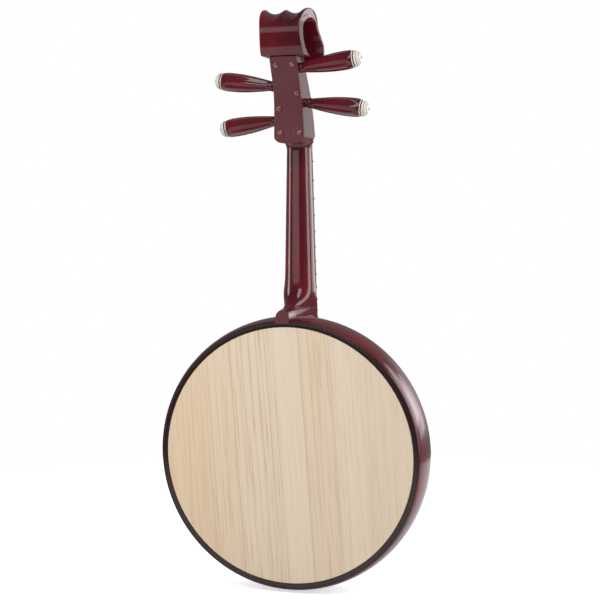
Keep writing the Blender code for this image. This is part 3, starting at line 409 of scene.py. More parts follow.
def lofted(sections):
    """A closed skin over a row of sections, each a closed loop of points."""
    bm = bmesh.new()
    loops = [loop(bm, section) for section in sections]
    for low, high in zip(loops, loops[1:]):
        bmesh.ops.bridge_loops(bm, edges=low + high)
    for end in (loops[0], loops[-1]):
        bmesh.ops.edgeloop_fill(bm, edges=end)
    return bm


def turned(profile, steps, closed=False):
    """A profile of (radius, height) points spun once round the Z axis."""
    bm = bmesh.new()
    verts = [bm.verts.new((r, 0.0, h)) for r, h in profile]
    ends = list(zip(verts, verts[1:])) + ([(verts[-1], verts[0])] if closed else [])
    edges = [bm.edges.new(pair) for pair in ends]
    bmesh.ops.spin(bm, geom=verts + edges, cent=(0, 0, 0), axis=(0, 0, 1),
                   angle=2 * math.pi, steps=steps, use_merge=True)
    bmesh.ops.remove_doubles(bm, verts=bm.verts, dist=1e-6)
    bmesh.ops.recalc_face_normals(bm, faces=bm.faces)
    return bm


def set_on_body_axis(bm):
    """Moves a piece made about Z, so that its Z runs to the back along the body's axis."""
    bmesh.ops.transform(bm, matrix=Matrix.Translation((0, 0, CENTRE_Z))
                        @ Matrix.Rotation(-math.pi / 2, 4, 'X'), verts=bm.verts)
    return bm


def rounded(points, radius, steps=4):
    """An open profile with its inner corners rounded."""
    out = [points[0]]
    for before, at, after in zip(points, points[1:], points[2:]):
        a, b, c = Vector(before), Vector(at), Vector(after)
        cut = min(radius, (a - b).length * 0.45, (c - b).length * 0.45)
        start, stop = b + (a - b).normalized() * cut, b + (c - b).normalized() * cut
        for k in range(steps + 1):
            t = k / steps
            out.append(tuple(start.lerp(b, t).lerp(b.lerp(stop, t), t)))
    out.append(points[-1])
    return out


def smooth_path(points, per):
    """Catmull-Rom points through a list of equal-length tuples."""
    out = []
    last = len(points) - 1
    for i in range(last):
        p0, p1 = points[max(i - 1, 0)], points[i]
        p2, p3 = points[i + 1], points[min(i + 2, last)]
        for k in range(per):
            t = k / per
            out.append(tuple(
                0.5 * (2 * b + (c - a) * t + (2 * a - 5 * b + 4 * c - d) * t ** 2
                       + (3 * b - a - 3 * c + d) * t ** 3)
                for a, b, c, d in zip(p0, p1, p2, p3)))
    out.append(tuple(points[-1]))
    return out


def depth(d):
    """World Y of a depth measured forward from the back board's face."""
    return BACK_Y - d


def solid_cut(bm, cutters, operation='DIFFERENCE'):
    """The bmesh after an exact Boolean with each cutter bmesh in turn."""
    base = as_object(bm)
    for cutter in cutters:
        tool = as_object(cutter)
        mod = base.modifiers.new("cut", 'BOOLEAN')
        mod.operation, mod.object, mod.solver = operation, tool, 'EXACT'
        bpy.context.view_layer.update()
        shown = base.evaluated_get(bpy.context.evaluated_depsgraph_get())
        mesh = bpy.data.meshes.new_from_object(shown)
        base.modifiers.clear()
        base.data = mesh
        bpy.data.objects.remove(tool)
    out = bmesh.new()
    out.from_mesh(base.data)
    bpy.data.objects.remove(base)
    return out


def as_object(bm):
    bmesh.ops.recalc_face_normals(bm, faces=bm.faces)
    mesh = bpy.data.meshes.new("work")
    bm.to_mesh(mesh)
    bm.free()
    made = bpy.data.objects.new("work", mesh)
    bpy.context.scene.collection.objects.link(made)
    return made


# Body
def rim_side(body, count, grow=0.0):
    """(radius, depth from the middle) points over the swelling side, back to front."""
    lip_r = MAX_R - body.bulge
    points = []
    for i in range(count):
        a = math.pi * i / (count - 1)
        d = -math.cos(a)
        swell = body.bulge * max(math.cos(d * math.pi / 2), 0.0) ** 0.6
        points.append((lip_r + swell + grow, -d * HALF_T))
    return points


class ZHONGRUAN_OT_rim(bpy.types.Operator):
    """Spin the lacquered rim: swelling side, eased lip edges and the fine line cut in each lip"""
    bl_idname = "zhongruan.rim"
    bl_label = "Rim"

    def execute(self, context):
        body = context.scene.zhongruan_body
        lip_r = MAX_R - body.bulge
        inner = BOARD_R + GAP
        line = lip_r - body.lip_line
        side = rim_side(body, 41)
        half = HALF_T
        back_lip = rounded([(inner, half - 0.0063), (inner, half), (line - 0.0003, half),
                            (line, half - 0.00045), (line + 0.0003, half),
                            (lip_r + 0.0003, half), side[3]], 0.0013, 6)
        front_lip = [(r, -h) for r, h in reversed(back_lip)]
        wall = MAX_R - 0.0118
        ledge = inner - 0.009
        inside = [(ledge, 0.0073 - half), (ledge, 0.0183 - half), (wall, 0.0243 - half),
                  (wall, half - 0.0233), (ledge, half - 0.0173), (ledge, half - 0.0063)]
        bm = turned(back_lip[:-1] + side[3:-3] + front_lip[1:] + inside, body.steps, closed=True)
        # its flat lips are coloured nearly black, partly as painted shade
        piece("rim_lacquered", set_on_body_axis(bm),
              kept(lacquered_redwood, "lacquered redwood, stained lips", True), hides=["rim"])
        return {'FINISHED'}


class ZHONGRUAN_OT_boards(bpy.types.Operator):
    """Lay the two paulownia boards in the rim, the front one with its two sound holes"""
    bl_idname = "zhongruan.boards"
    bl_label = "Boards"

    def execute(self, context):
        steps = context.scene.zhongruan_body.steps
        hole_low, hole_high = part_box("rosette_1")
        hole_r = (hole_high.z - hole_low.z) / 2 + GAP
        hole_x = (hole_low.x + hole_high.x) / 2
        hole_z = (hole_low.z + hole_high.z) / 2
        for name, node, face, holes in (("back_panel", "back_board", 1, False),
                                        ("sound_panel", "soundboard", -1, True)):
            low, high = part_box(node)
            bm = bmesh.new()
            edges = []
            disc = bmesh.ops.create_circle(bm, segments=steps, radius=BOARD_R)["verts"]
            edges += list({e for v in disc for e in v.link_edges})
            if holes:
                for x in (hole_x, -hole_x):
                    ring = bmesh.ops.create_circle(
                        bm, segments=64, radius=hole_r,
                        matrix=Matrix.Translation((x, CENTRE_Z - hole_z, 0)))["verts"]
                    edges += list({e for v in ring for e in v.link_edges})
            bmesh.ops.triangle_fill(bm, edges=edges, use_beauty=True)
            grown = bmesh.ops.extrude_face_region(bm, geom=list(bm.faces))["geom"]
            raised = [v for v in grown if isinstance(v, bmesh.types.BMVert)]
            bmesh.ops.translate(bm, vec=(0, 0, high.y - low.y), verts=raised)
            bmesh.ops.recalc_face_normals(bm, faces=bm.faces)
            corner = [e for e in bm.edges if len(e.link_faces) == 2
                      and e.calc_face_angle() > 1.0]
            bmesh.ops.bevel(bm, geom=corner, offset=0.0004, segments=2, profile=0.5,
                            affect='EDGES', material=-1)
            set_on_body_axis(bm)
            middle = (low.y + high.y) / 2
            shift = middle - (high.y - low.y) / 2
            bmesh.ops.translate(bm, vec=(0, shift, 0), verts=bm.verts)
            if face > 0:
                mat = kept(paulownia, "planed paulownia back", BACK_STRIPS, 0.068, True)
            else:
                mat = kept(paulownia, "planed paulownia front", FRONT_STRIPS, 0.0, False)
            piece(name, bm, mat, hides=[node], sharp=30.0)
        return {'FINISHED'}


class ZHONGRUAN_OT_rosettes(bpy.types.Operator):
    """Cut the two pierced sound hole rosettes, each a disc with eight petals through it"""
    bl_idname = "zhongruan.rosettes"
    bl_label = "Rosettes"

    def execute(self, context):
        for node in ("rosette_1", "rosette_2"):
            low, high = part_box(node)
            radius = (high.z - low.z) / 2
            centre = (low + high) / 2
            bm = bmesh.new()
            disc = bmesh.ops.create_circle(bm, segments=96, radius=radius)["verts"]
            edges = list({e for v in disc for e in v.link_edges})
            for k in range(8):
                turn = Matrix.Rotation(2 * math.pi * k / 8, 4, 'Z')
                petal = bmesh.ops.create_circle(bm, segments=28, radius=1.0)["verts"]
                for v in petal:
                    t = (v.co.x + 1) / 2
                    reach = (0.36 + 0.44 * t) * radius
                    wide = (0.19 * math.sin(math.pi * min(t ** 0.8, 1.0)) + 0.02) * radius
                    v.co = turn @ Vector((reach, wide * (1 if v.co.y > 0 else -1)
                                          * min(abs(v.co.y) * 1.6, 1.0), 0))
                edges += list({e for v in petal for e in v.link_edges})
            bmesh.ops.triangle_fill(bm, edges=edges, use_beauty=True)
            grown = bmesh.ops.extrude_face_region(bm, geom=list(bm.faces))["geom"]
            raised = [v for v in grown if isinstance(v, bmesh.types.BMVert)]
            bmesh.ops.translate(bm, vec=(0, 0, high.y - low.y), verts=raised)
            bmesh.ops.recalc_face_normals(bm, faces=bm.faces)
            corner = [e for e in bm.edges if len(e.link_faces) == 2
                      and e.calc_face_angle() > 1.0]
            bmesh.ops.bevel(bm, geom=corner, offset=0.00035, segments=2, profile=0.5,
                            affect='EDGES', material=-1)
            bmesh.ops.transform(bm, matrix=Matrix.Translation((centre.x, low.y, centre.z))
                                @ Matrix.Rotation(-math.pi / 2, 4, 'X'), verts=bm.verts)
            piece(node + "_carved", bm, lacquer(), hides=[node])
        return {'FINISHED'}


# Neck
NECK_W = 0.0396           # fingerboard width at the nut
TAPER = 0.0475            # and the width it gains a metre
NECK_D = 0.0205
NECK_D_LOW = 0.0245
CAP_W = 0.0218
CAP_RISE = 0.0170
CAP_LAP = 0.0043
CAP_T = 0.0024
HEEL_SWEEP = 0.056
HEEL_SHIFT = 0.0062
HEEL_CURVE = 2.4
HEEL_HALF_W = 0.0285
HEEL_TONGUE_L = 0.030     # the heel's rounded back widens to the neck over this height
HEEL_SADDLE = 1.8         # how sharply its hollow flanks spread toward the soundboard
HEEL_FLARE = 0.005        # the foot spreads by this much on its way down to the rim
BACK_HALF = 0.0035
SHOULDER_L = 0.018
SHOULDER_OVER = 0.0050
SHOULDER_DEEP = 0.010     # and the neck's back swells toward the pegbox's chin by this much


def board_half(z):
    """Half width of the fingerboard at height z."""
    return (NECK_W + TAPER * (NUT_Z - z)) / 2


def neck_section(z, half_w, deep, back_half, shift=0.0, tongue=None):
    """Section with its flat at the fingerboard: a half oval, or at the heel a rounded tongue of
    that half width on a base that spreads in a hollow curve."""
    steps = 40
    tongue = tongue or half_w
    row = []
    for i in range(steps + 1):
        a = 0.5 * math.pi * i / steps
        w = (back_half + (tongue - back_half) * math.cos(a)
             + (half_w - tongue) * (1 - math.sin(a)) ** HEEL_SADDLE)
        row.append((w, deep * math.sin(a), shift * math.sin(a)))
    right = [(w + dx, FRONT_Y + d, z) for w, d, dx in row]
    left = [(-w + dx, FRONT_Y + d, z) for w, d, dx in reversed(row)]
    return right + left


class ZHONGRUAN_OT_neck(bpy.types.Operator):
    """Loft the neck from the shoulder at the pegbox down to the heel with its scooped flanks"""
    bl_idname = "zhongruan.neck"
    bl_label = "Neck and heel"

    def execute(self, context):
        body = context.scene.zhongruan_body
        lip_r = MAX_R - body.bulge
        cap_top = CENTRE_Z + lip_r + CAP_RISE + 0.0006
        cap_half = CAP_W / 2 + 0.0006
        cap_low = CENTRE_Z + lip_r - CAP_LAP
        sweep = cap_top + HEEL_SWEEP
        shoulder = NUT_Z - GAP - SHOULDER_L
        thick = BACK_Y - FRONT_Y
        rings = []
        for k in range(7):
            z = cap_low - 0.012 + (cap_top - cap_half - cap_low + 0.012) * k / 6
            rings.append(neck_section(z, HEEL_HALF_W + HEEL_FLARE * (1 - k / 6), thick, cap_half,
                                      HEEL_SHIFT, cap_half))
        for k in range(1, 15):
            a = math.radians(80) * k / 14
            rings.append(neck_section(
                cap_top - cap_half * (1 - math.sin(a)), HEEL_HALF_W, thick,
                cap_half * math.cos(a), HEEL_SHIFT, cap_half))
        for k in range(1, 41):
            t = (k / 40) ** 2
            z = cap_top + (sweep - cap_top) * t
            out = 1 - (1 - (1 - t) ** HEEL_CURVE) ** (1 / HEEL_CURVE)
            deep = NECK_D_LOW + (thick - NECK_D_LOW) * out
            half = board_half(z) + (HEEL_HALF_W - board_half(z)) * (1 - t) ** 2 * (1 + 2 * t)
            widen = math.sin(0.5 * math.pi * min((z - cap_top) / HEEL_TONGUE_L, 1.0))
            rings.append(neck_section(z, half, deep, BACK_HALF, HEEL_SHIFT * (1 - t) ** 4,
                                      cap_half + (half - cap_half) * widen))
        for k in range(1, 13):
            z = sweep + (shoulder - sweep) * k / 12
            rings.append(neck_section(z, board_half(z),
                                      NECK_D_LOW + (NECK_D - NECK_D_LOW) * k / 12,
                                      BACK_HALF, 0.0))
        for k in range(1, 13):
            t = k / 12
            z = shoulder + SHOULDER_L * t
            rings.append(neck_section(z, board_half(z) + SHOULDER_OVER * t ** 2.5,
                                      NECK_D + SHOULDER_DEEP * t ** 3, BACK_HALF, 0.0))
        reach = HALF_T + 0.02
        space = turned([(0, reach), (lip_r + GAP, reach)] + rim_side(body, 41, GAP)
                       + [(lip_r + GAP, -reach), (0, -reach)], body.steps)
        bm = solid_cut(lofted(rings), [set_on_body_axis(space)])
        piece("neck_carved", bm, lacquer(), hides=["neck"], sharp=32.0)

        # heel cap: an arch-topped tab with a small bevel
        low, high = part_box("heel_cap")
        half = (high.x - low.x) / 2
        middle = (high.x + low.x) / 2
        arch = [(-half, low.z), (half, low.z)]
        for i in range(33):
            a = math.pi * i / 32
            arch.append((half * math.cos(a), high.z - half + half * math.sin(a)))
        bm = bmesh.new()
        verts = [bm.verts.new((middle + x, low.y, z)) for x, z in arch]
        face = bm.faces.new(verts)
        grown = bmesh.ops.extrude_face_region(bm, geom=[face])["geom"]
        raised = [v for v in grown if isinstance(v, bmesh.types.BMVert)]
        bmesh.ops.translate(bm, vec=(0, high.y - low.y, 0), verts=raised)
        bmesh.ops.remove_doubles(bm, verts=bm.verts, dist=1e-6)
        corner = [e for e in bm.edges if all(v.co.y > high.y - 1e-5 for v in e.verts)]
        bmesh.ops.bevel(bm, geom=corner, offset=0.0006, segments=3, profile=0.5,
                        affect='EDGES', material=-1)
        piece("heel_tab", bm, kept(matt_redwood, "rubbed redwood"), hides=["heel_cap"],
              sharp=30.0)
        return {'FINISHED'}


class ZHONGRUAN_OT_fittings(bpy.types.Operator):
    """Give the fingerboard, frets, nut and bridge their finishes"""
    bl_idname = "zhongruan.fittings"
    bl_label = "Fingerboard, frets, nut and bridge"

    def execute(self, context):
        look = context.scene.zhongruan_finish
        fret = kept(drawn_metal, "drawn brass", tuple(look.brass), 0.25, (60.0, 900.0, 900.0))
        finishes = {"fingerboard": kept(polished_blackwood, "oiled blackwood"),
                    "nut": bone(), "bridge": lacquer()}
        for name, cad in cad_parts.items():
            mat = fret if name.startswith("fret_") else finishes.get(name)
            if mat:
                cad.data.materials.clear()
                cad.data.materials.append(mat)
        return {'FINISHED'}


# Pegbox
BOX_BACK = ((-0.0467, 0.0222), (0.125, 0.0222), (0.311, 0.0202), (0.436, 0.0179),
            (0.576, 0.0140), (0.716, 0.0080), (0.833, 0.0019), (1.0, -0.0062))
BOX_HALF = (0.0252, 0.0224, 0.0226)
BOX_WAIST = 0.66
BOX_CHIN = 0.006
CHIN_ROUND = 0.012
PLATE_T = 0.0022
SCREWS_HIGH = ((0.0132, 0.0140), (-0.0136, 0.0135), (-0.0162, 0.05705), (0.0150, 0.07954))
SCREWS_LOW = ((0.0145, 0.084), (-0.0178, 0.082))
SEATS = ([(x, BOX_LEN - down) for x, down in SCREWS_HIGH]
         + [(x, BOX_LEN * share) for x, share in SCREWS_LOW])
BACK_CURVE = smooth_path([(share * BOX_LEN, d) for share, d in BOX_BACK], 8)


def box_half(up):
    """Half width of the pegbox at a height above the nut."""
    t = min(max(up / BOX_LEN, 0.0), 1.0)
    if t < BOX_WAIST:
        s = t / BOX_WAIST
        return BOX_HALF[0] + (BOX_HALF[1] - BOX_HALF[0]) * s * s * (3 - 2 * s)
    s = (t - BOX_WAIST) / (1 - BOX_WAIST)
    return BOX_HALF[1] + (BOX_HALF[2] - BOX_HALF[1]) * s * s


def on_back(up):
    """Depth and outward direction of the plate's face at a height above the nut."""
    for a, b in zip(BACK_CURVE, BACK_CURVE[1:]):
        if a[0] <= up <= b[0]:
            t = (up - a[0]) / (b[0] - a[0])
            du, dd = b[0] - a[0], b[1] - a[1]
            n = math.hypot(du, dd)
            return a[1] + (b[1] - a[1]) * t, Vector((0, du / n, dd / n))
    raise ValueError(up)


class ZHONGRUAN_OT_pegbox(bpy.types.Operator):
    """Give the pegbox its lacquer and lay the rubbed cover plate over its back"""
    bl_idname = "zhongruan.pegbox"
    bl_label = "Pegbox and cover plate"

    def execute(self, context):
        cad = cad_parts["pegbox"]
        cad.data.materials.clear()
        cad.data.materials.append(lacquer())

        low, top = -BOX_CHIN, BOX_LEN - 0.0015
        ups = [low + CHIN_ROUND * (1 + math.sin(-math.pi / 2 * (1 - k / 24)))
               for k in range(1, 24)]
        ups += [low + CHIN_ROUND + (top - low - CHIN_ROUND) * k / 50 for k in range(51)]
        edge = 0.0006
        rings = []
        for up in ups:
            half = box_half(max(up, low + CHIN_ROUND)) - 0.0002
            if up < low + CHIN_ROUND:
                a = math.asin((up - low) / CHIN_ROUND - 1)
                half = (box_half(low) - 0.0002) * math.cos(a) ** 0.62
            d, out = on_back(up)
            back = Vector((0, depth(d), NUT_Z + up))
            front = back - out * PLATE_T
            e = min(edge, half * 0.4)
            sides = []
            for k in range(4):
                b = 0.5 * math.pi * k / 3
                sides.append((half - e + e * math.cos(b), e - e * math.sin(b)))
            right = [back - out * t + Vector((x, 0, 0)) for x, t in reversed(sides)]
            left = [back - out * t - Vector((x, 0, 0)) for x, t in sides]
            rings.append(right + [front + Vector((half, 0, 0)), front - Vector((half, 0, 0))]
                         + left[::-1])
        bm = lofted(rings)
        holes = []
        for x, up in SEATS:
            d, out = on_back(up)
            seat = Vector((x, depth(d), NUT_Z + up))
            holes.append(drilled(seat, out, 0.0018, 0.004))
        bm = solid_cut(bm, holes)
        piece("cover_panel", bm, kept(matt_redwood, "rubbed redwood"), hides=["cover_plate"],
              sharp=30.0)
        return {'FINISHED'}


def drilled(seat, out, radius, reach):
    """A round cutter that stands square to a face, through the point seat."""
    bm = bmesh.new()
    turn = out.to_track_quat('Z', 'X').to_matrix().to_4x4()
    bmesh.ops.create_cone(bm, cap_ends=True, segments=24, radius1=radius, radius2=radius,
                          depth=2 * reach, matrix=Matrix.Translation(seat) @ turn)
    return bm


class ZHONGRUAN_OT_screws(bpy.types.Operator):
    """Turn the six slotted brass screws of the cover plate"""
    bl_idname = "zhongruan.screws"
    bl_label = "Plate screws"

    def execute(self, context):
        look = context.scene.zhongruan_finish
        mat = kept(drawn_metal, "old brass", tuple(look.screw_brass), 0.38,
                   (900.0, 900.0, 900.0))
        radius, rise, shank = 0.0037, 0.0010, 0.0015
        for number, (x, up) in enumerate(SEATS, start=1):
            profile = [(0.0, rise)]
            for k in range(1, 9):
                a = 0.5 * math.pi * k / 8
                profile.append((radius * math.sin(a), rise * (0.3 + 0.7 * math.cos(a))))
            profile += [(radius, 0.0), (shank, 0.0), (shank, -0.006), (0.0, -0.0075)]
            bm = turned(profile, 40)
            slot = bmesh.new()
            bmesh.ops.create_cube(slot, size=1.0)
            bmesh.ops.scale(slot, vec=(radius * 3, 0.0009, rise * 1.3), verts=slot.verts)
            bmesh.ops.translate(slot, vec=(0, 0, rise * 1.05), verts=slot.verts)
            bm = solid_cut(bm, [slot])
            d, out = on_back(up)
            seat = Vector((x, depth(d), NUT_Z + up)) + out * GAP
            turn = Matrix.Rotation(math.radians(37 + 53 * number), 4, 'Z')
            bmesh.ops.transform(bm, matrix=Matrix.Translation(seat)
                                @ out.to_track_quat('Z', 'X').to_matrix().to_4x4() @ turn,
                                verts=bm.verts)
            piece("plate_screw_%d" % number, bm, mat, hides=["cover_screw_%d" % number],
                  sharp=30.0)
        return {'FINISHED'}


# Pegs
PEG_SPLAY = math.radians(7.0)
PEG_GAP = (0.0010, 0.0025, 0.0067, 0.0015)
SHAFT_R = 0.0070
SHAFT_TAPER = 0.024
FAR_WALL = 0.0034
COLLAR_R = 0.0084
COLLAR_L = 0.0042
COLLAR_NECK = 0.0010
HANDLE_L = 0.0812
HANDLE_FOOT_R = 0.0079
HANDLE_R = 0.0149
HANDLE_WIDEST = 0.83      # as a share of the handle
HANDLE_END_R = 0.0131
RING_T = 0.0028
BAND_T = 0.0024
CAP_L = 0.0078
CAP_TIP = 0.0014


def peg_axis(i):
    """Start, direction, collar gap and half width of the box at peg i."""
    side = -1 if i % 2 == 0 else 1
    lean = 1 if i < 2 else -1
    root_z = BOX_TOP_Z - 0.0185 - 0.026 * i
    half = box_half(root_z - NUT_Z)
    way = Vector((side * math.cos(PEG_SPLAY), 0, lean * math.sin(PEG_SPLAY)))
    root = Vector((side * half, depth(0.0135 + 0.0104 * i), root_z))
    return root + way * PEG_GAP[i], way, PEG_GAP[i], half


def shaft_r(s):
    """Shaft radius at s along the axis, measured outward from the collar."""
    return SHAFT_R + SHAFT_TAPER * s


class ZHONGRUAN_OT_pegs(bpy.types.Operator):
    """Turn and flute the four pegs, each with its bone ring and carved bone cap"""
    bl_idname = "zhongruan.pegs"
    bl_label = "Pegs"

    def execute(self, context):
        pegs = context.scene.zhongruan_pegs
        dark = kept(polished_blackwood, "oiled blackwood")
        for i in range(4):
            start, way, gap, half = peg_axis(i)
            pose = Matrix.Translation(start) @ way.to_track_quat('Z', 'Y').to_matrix().to_4x4()
            name = "peg_%d" % (i + 1)
            end = -(gap + (2 * half - FAR_WALL) / math.cos(PEG_SPLAY))
            widest = COLLAR_L + HANDLE_L * HANDLE_WIDEST
            stop = COLLAR_L + HANDLE_L
            foot = COLLAR_L + COLLAR_NECK
            profile = [(0.0, end), (shaft_r(end) - 0.001, end), (shaft_r(end), end + 0.001),
                       (SHAFT_R, -0.0001), (COLLAR_R - 0.0007, 0.0), (COLLAR_R - 0.0002, 0.0003),
                       (COLLAR_R, 0.0010), (COLLAR_R + 0.0002, COLLAR_L / 2),
                       (COLLAR_R, COLLAR_L - 0.0010), (COLLAR_R - 0.0004, COLLAR_L - 0.0003),
                       (HANDLE_FOOT_R - 0.0008, COLLAR_L + 0.0001),
                       (HANDLE_FOOT_R - 0.0008, foot - 0.0003), (HANDLE_FOOT_R - 0.0001, foot)]
            for k in range(1, 37):
                t = k / 36
                swell = (HANDLE_R - HANDLE_FOOT_R) * math.sin(0.5 * math.pi * t)
                profile.append((HANDLE_FOOT_R + swell, foot + (widest - foot) * t))
            for k in range(1, 15):
                a = 0.5 * math.pi * k / 14
                profile.append((HANDLE_END_R + (HANDLE_R - HANDLE_END_R) * math.cos(a),
                                widest + (stop - widest) * math.sin(a)))
            profile.append((0.0, stop))
            bm = turned(profile, pegs.flutes * 14)
            for v in bm.verts:
                r, s = math.hypot(v.co.x, v.co.y), v.co.z
                if r < 1e-5 or s < foot:
                    continue
                grown = min((s - foot) / 0.006, 1.0)
                fade = 1 - max((s - widest) / (stop - widest), 0.0) ** 1.6
                a = math.atan2(v.co.y, v.co.x)
                dip = abs(math.sin(a * pegs.flutes / 2)) ** 1.15
                share = 1 - pegs.flute_depth * dip * grown * fade
                v.co.x *= share
                v.co.y *= share
            bmesh.ops.transform(bm, matrix=pose, verts=bm.verts)
            piece(name + "_turned", bm, lacquer(), name, [name], sharp=24.0)

            # bone ring, dark band and the bone lip under the cap
            r = HANDLE_END_R
            thin = 0.0017
            base = stop + GAP
            bm = turned([(0, base), (r - 0.0003, base), (r + 0.0002, base + 0.0004),
                         (r + 0.0002, base + thin - 0.0004), (r - 0.0003, base + thin),
                         (0, base + thin)], 64)
            bmesh.ops.transform(bm, matrix=pose, verts=bm.verts)
            piece(name + "_bone_ring", bm, bone(), name, [name + "_ring"], 50.0)
            low = base + thin
            bm = turned([(0, low), (r - 0.0007, low), (r - 0.0006, low + 0.0003),
                         (r - 0.0006, low + 0.0017), (r - 0.0007, low + 0.0020),
                         (0, low + 0.0020)], 64)
            bmesh.ops.transform(bm, matrix=pose, verts=bm.verts)
            piece(name + "_dark_band", bm, lacquer(), name, (), 50.0)
            low += 0.0020
            top = stop + 2 * GAP + RING_T + BAND_T
            dome = [(0, low), (r - 0.0004, low), (r, low + 0.0003), (r, low + 0.0012),
                    (r - 0.0005, low + 0.0016)]
            for k in range(31):
                a = 0.5 * math.pi * k / 30
                dome.append((0.0016 + (r - 0.0024) * math.cos(a),
                             low + 0.0016 + (top + CAP_L - low - 0.0020) * math.sin(a)))
            dome += [(0.0016, top + CAP_L), (0.0012, top + CAP_L + CAP_TIP * 0.8),
                     (0, top + CAP_L + CAP_TIP)]
            bm = turned(dome, pegs.cap_rays * 10)
            layer = bm.verts.layers.float.new("groove")
            for v in bm.verts:
                radial = math.hypot(v.co.x, v.co.y)
                s = v.co.z
                if s < low + 0.0018 or radial < 0.0017:
                    v[layer] = 1.0 if s > top + CAP_L - 0.0002 else 0.0
                    continue
                a = math.atan2(v.co.y, v.co.x)
                ray = max(math.cos(a * pegs.cap_rays), 0.0) ** 3
                place = (s - low) / (top + CAP_L - low)
                ring = math.exp(-((place - 0.30) / 0.035) ** 2) \
                    + math.exp(-((place - 0.80) / 0.03) ** 2)
                body = 1.0 if 0.30 < place < 0.80 else 0.35
                cut = min(ray * body + ring, 1.0)
                v[layer] = cut * 0.9
                v.co -= Vector((v.co.x, v.co.y, 0.3 * radial)).normalized() * pegs.cap_cut * cut
            bmesh.ops.transform(bm, matrix=pose, verts=bm.verts)
            piece(name + "_carved_cap", bm, bone(), name, [name + "_cap"], 60.0)
        return {'FINISHED'}


# Strings
STRING_R = (0.00045, 0.0004, 0.00055, 0.00035)
NUT_STEP = 0.0086
BRIDGE_STEP = 0.0135
WIND_AT = (0.0050, 0.0050, 0.0098, 0.0098)
WIND_PITCH = 0.0016
WIND_TURNS = 3
BRIDGE_Z = 0.1421


class ZHONGRUAN_OT_strings(bpy.types.Operator):
    """Run the four strings from the bridge over the nut and wind them on the pegs' shafts"""
    bl_idname = "zhongruan.strings"
    bl_label = "Strings"

    def execute(self, context):
        look = context.scene.zhongruan_finish
        plain = kept(drawn_metal, "drawn steel", tuple(look.steel), 0.22, (900.0, 900.0, 40.0))
        wound = kept(wound_steel, "wound steel")
        steps = 40
        for i in range(4):
            start, way, gap, half = peg_axis(i)
            r = STRING_R[i]
            slot = (-0.5, 0.5, -1.5, 1.5)[i]
            first = -(gap + (half - WIND_AT[i]) / math.cos(PEG_SPLAY))
            axis = start + way * first
            around = shaft_r(first) + GAP + r
            edge = Vector((slot * NUT_STEP, FRONT_Y - 0.0090, NUT_Z + NUT_T))
            run = axis - edge
            run -= way * run.dot(way)
            lift = math.asin(around / run.length)
            front = way.cross(run).normalized()
            if front.y > 0:
                front.negate()
            heading = run.normalized() * math.cos(lift) + front * math.sin(lift)
            radial = front * math.cos(lift) - run.normalized() * math.sin(lift)
            bridge_y = FRONT_Y - 0.0146
            path = [Vector((slot * BRIDGE_STEP, bridge_y, BRIDGE_Z - 0.0192)),
                    Vector((slot * BRIDGE_STEP, bridge_y, BRIDGE_Z + 0.001)),
                    Vector((slot * NUT_STEP, edge.y, NUT_Z + 0.001)), edge]
            for k in range(WIND_TURNS * steps + 1):
                a = 2 * math.pi * k / steps
                s = first - WIND_PITCH * k / steps
                out = shaft_r(s) + GAP + r
                path.append(start + way * s
                            + (radial * math.cos(a) + heading * math.sin(a)) * out)
            curve = bpy.data.curves.new("string", 'CURVE')
            curve.dimensions = '3D'
            curve.bevel_depth = r
            curve.bevel_resolution = 4
            curve.use_fill_caps = True
            spline = curve.splines.new('POLY')
            spline.points.add(len(path) - 1)
            for point, co in zip(spline.points, path):
                point.co = (*co, 1.0)
            tube = bpy.data.objects.new("string", curve)
            context.scene.collection.objects.link(tube)
            context.view_layer.update()
            shown = tube.evaluated_get(context.evaluated_depsgraph_get())
            bm = bmesh.new()
            bm.from_mesh(bpy.data.meshes.new_from_object(shown))
            bpy.data.objects.remove(tube)
            piece("string_%d_laid" % (i + 1), bm, plain if i == 3 else wound,
                  hides=["string_%d" % (i + 1)], sharp=50.0)
        return {'FINISHED'}


# Head
HEAD_STATIONS = (
    # outer up, outer depth, inner up, inner depth, half width, share of the flutes' depth
    (0.0000, -0.0080, 0.0000, 0.0300, 0.0352, -0.6),
    (0.0090, -0.0135, 0.0060, 0.0170, 0.0347, -0.6),
    (0.0210, -0.0180, 0.0180, 0.0045, 0.0338, -0.6),
    (0.0340, -0.0212, 0.0330, -0.0010, 0.0330, -0.5),
    (0.0480, -0.0203, 0.0450, -0.0015, 0.0334, 0.05),
    (0.0602, -0.0133, 0.0525, 0.0050, 0.0350, 0.62),
    (0.0699, 0.0005, 0.0572, 0.0145, 0.0368, 0.94),
    (0.0741, 0.0195, 0.0592, 0.0245, 0.0386, 1.0),
    (0.0709, 0.0365, 0.0568, 0.0340, 0.0402, 0.80),
    (0.0615, 0.0465, 0.0510, 0.0405, 0.0410, 0.35),
    (0.0470, 0.0510, 0.0430, 0.0450, 0.0414, -0.2),
    (0.0330, 0.0600, 0.0285, 0.0550, 0.0436, -0.6),
    (0.0200, 0.0705, 0.0185, 0.0645, 0.0447, -0.6),
    (0.0070, 0.0760, 0.0065, 0.0700, 0.0432, -0.6),
    (-0.0035, 0.0755, -0.0030, 0.0700, 0.0392, -0.6),
    (-0.0110, 0.0715, -0.0095, 0.0665, 0.0290, -0.6),
)


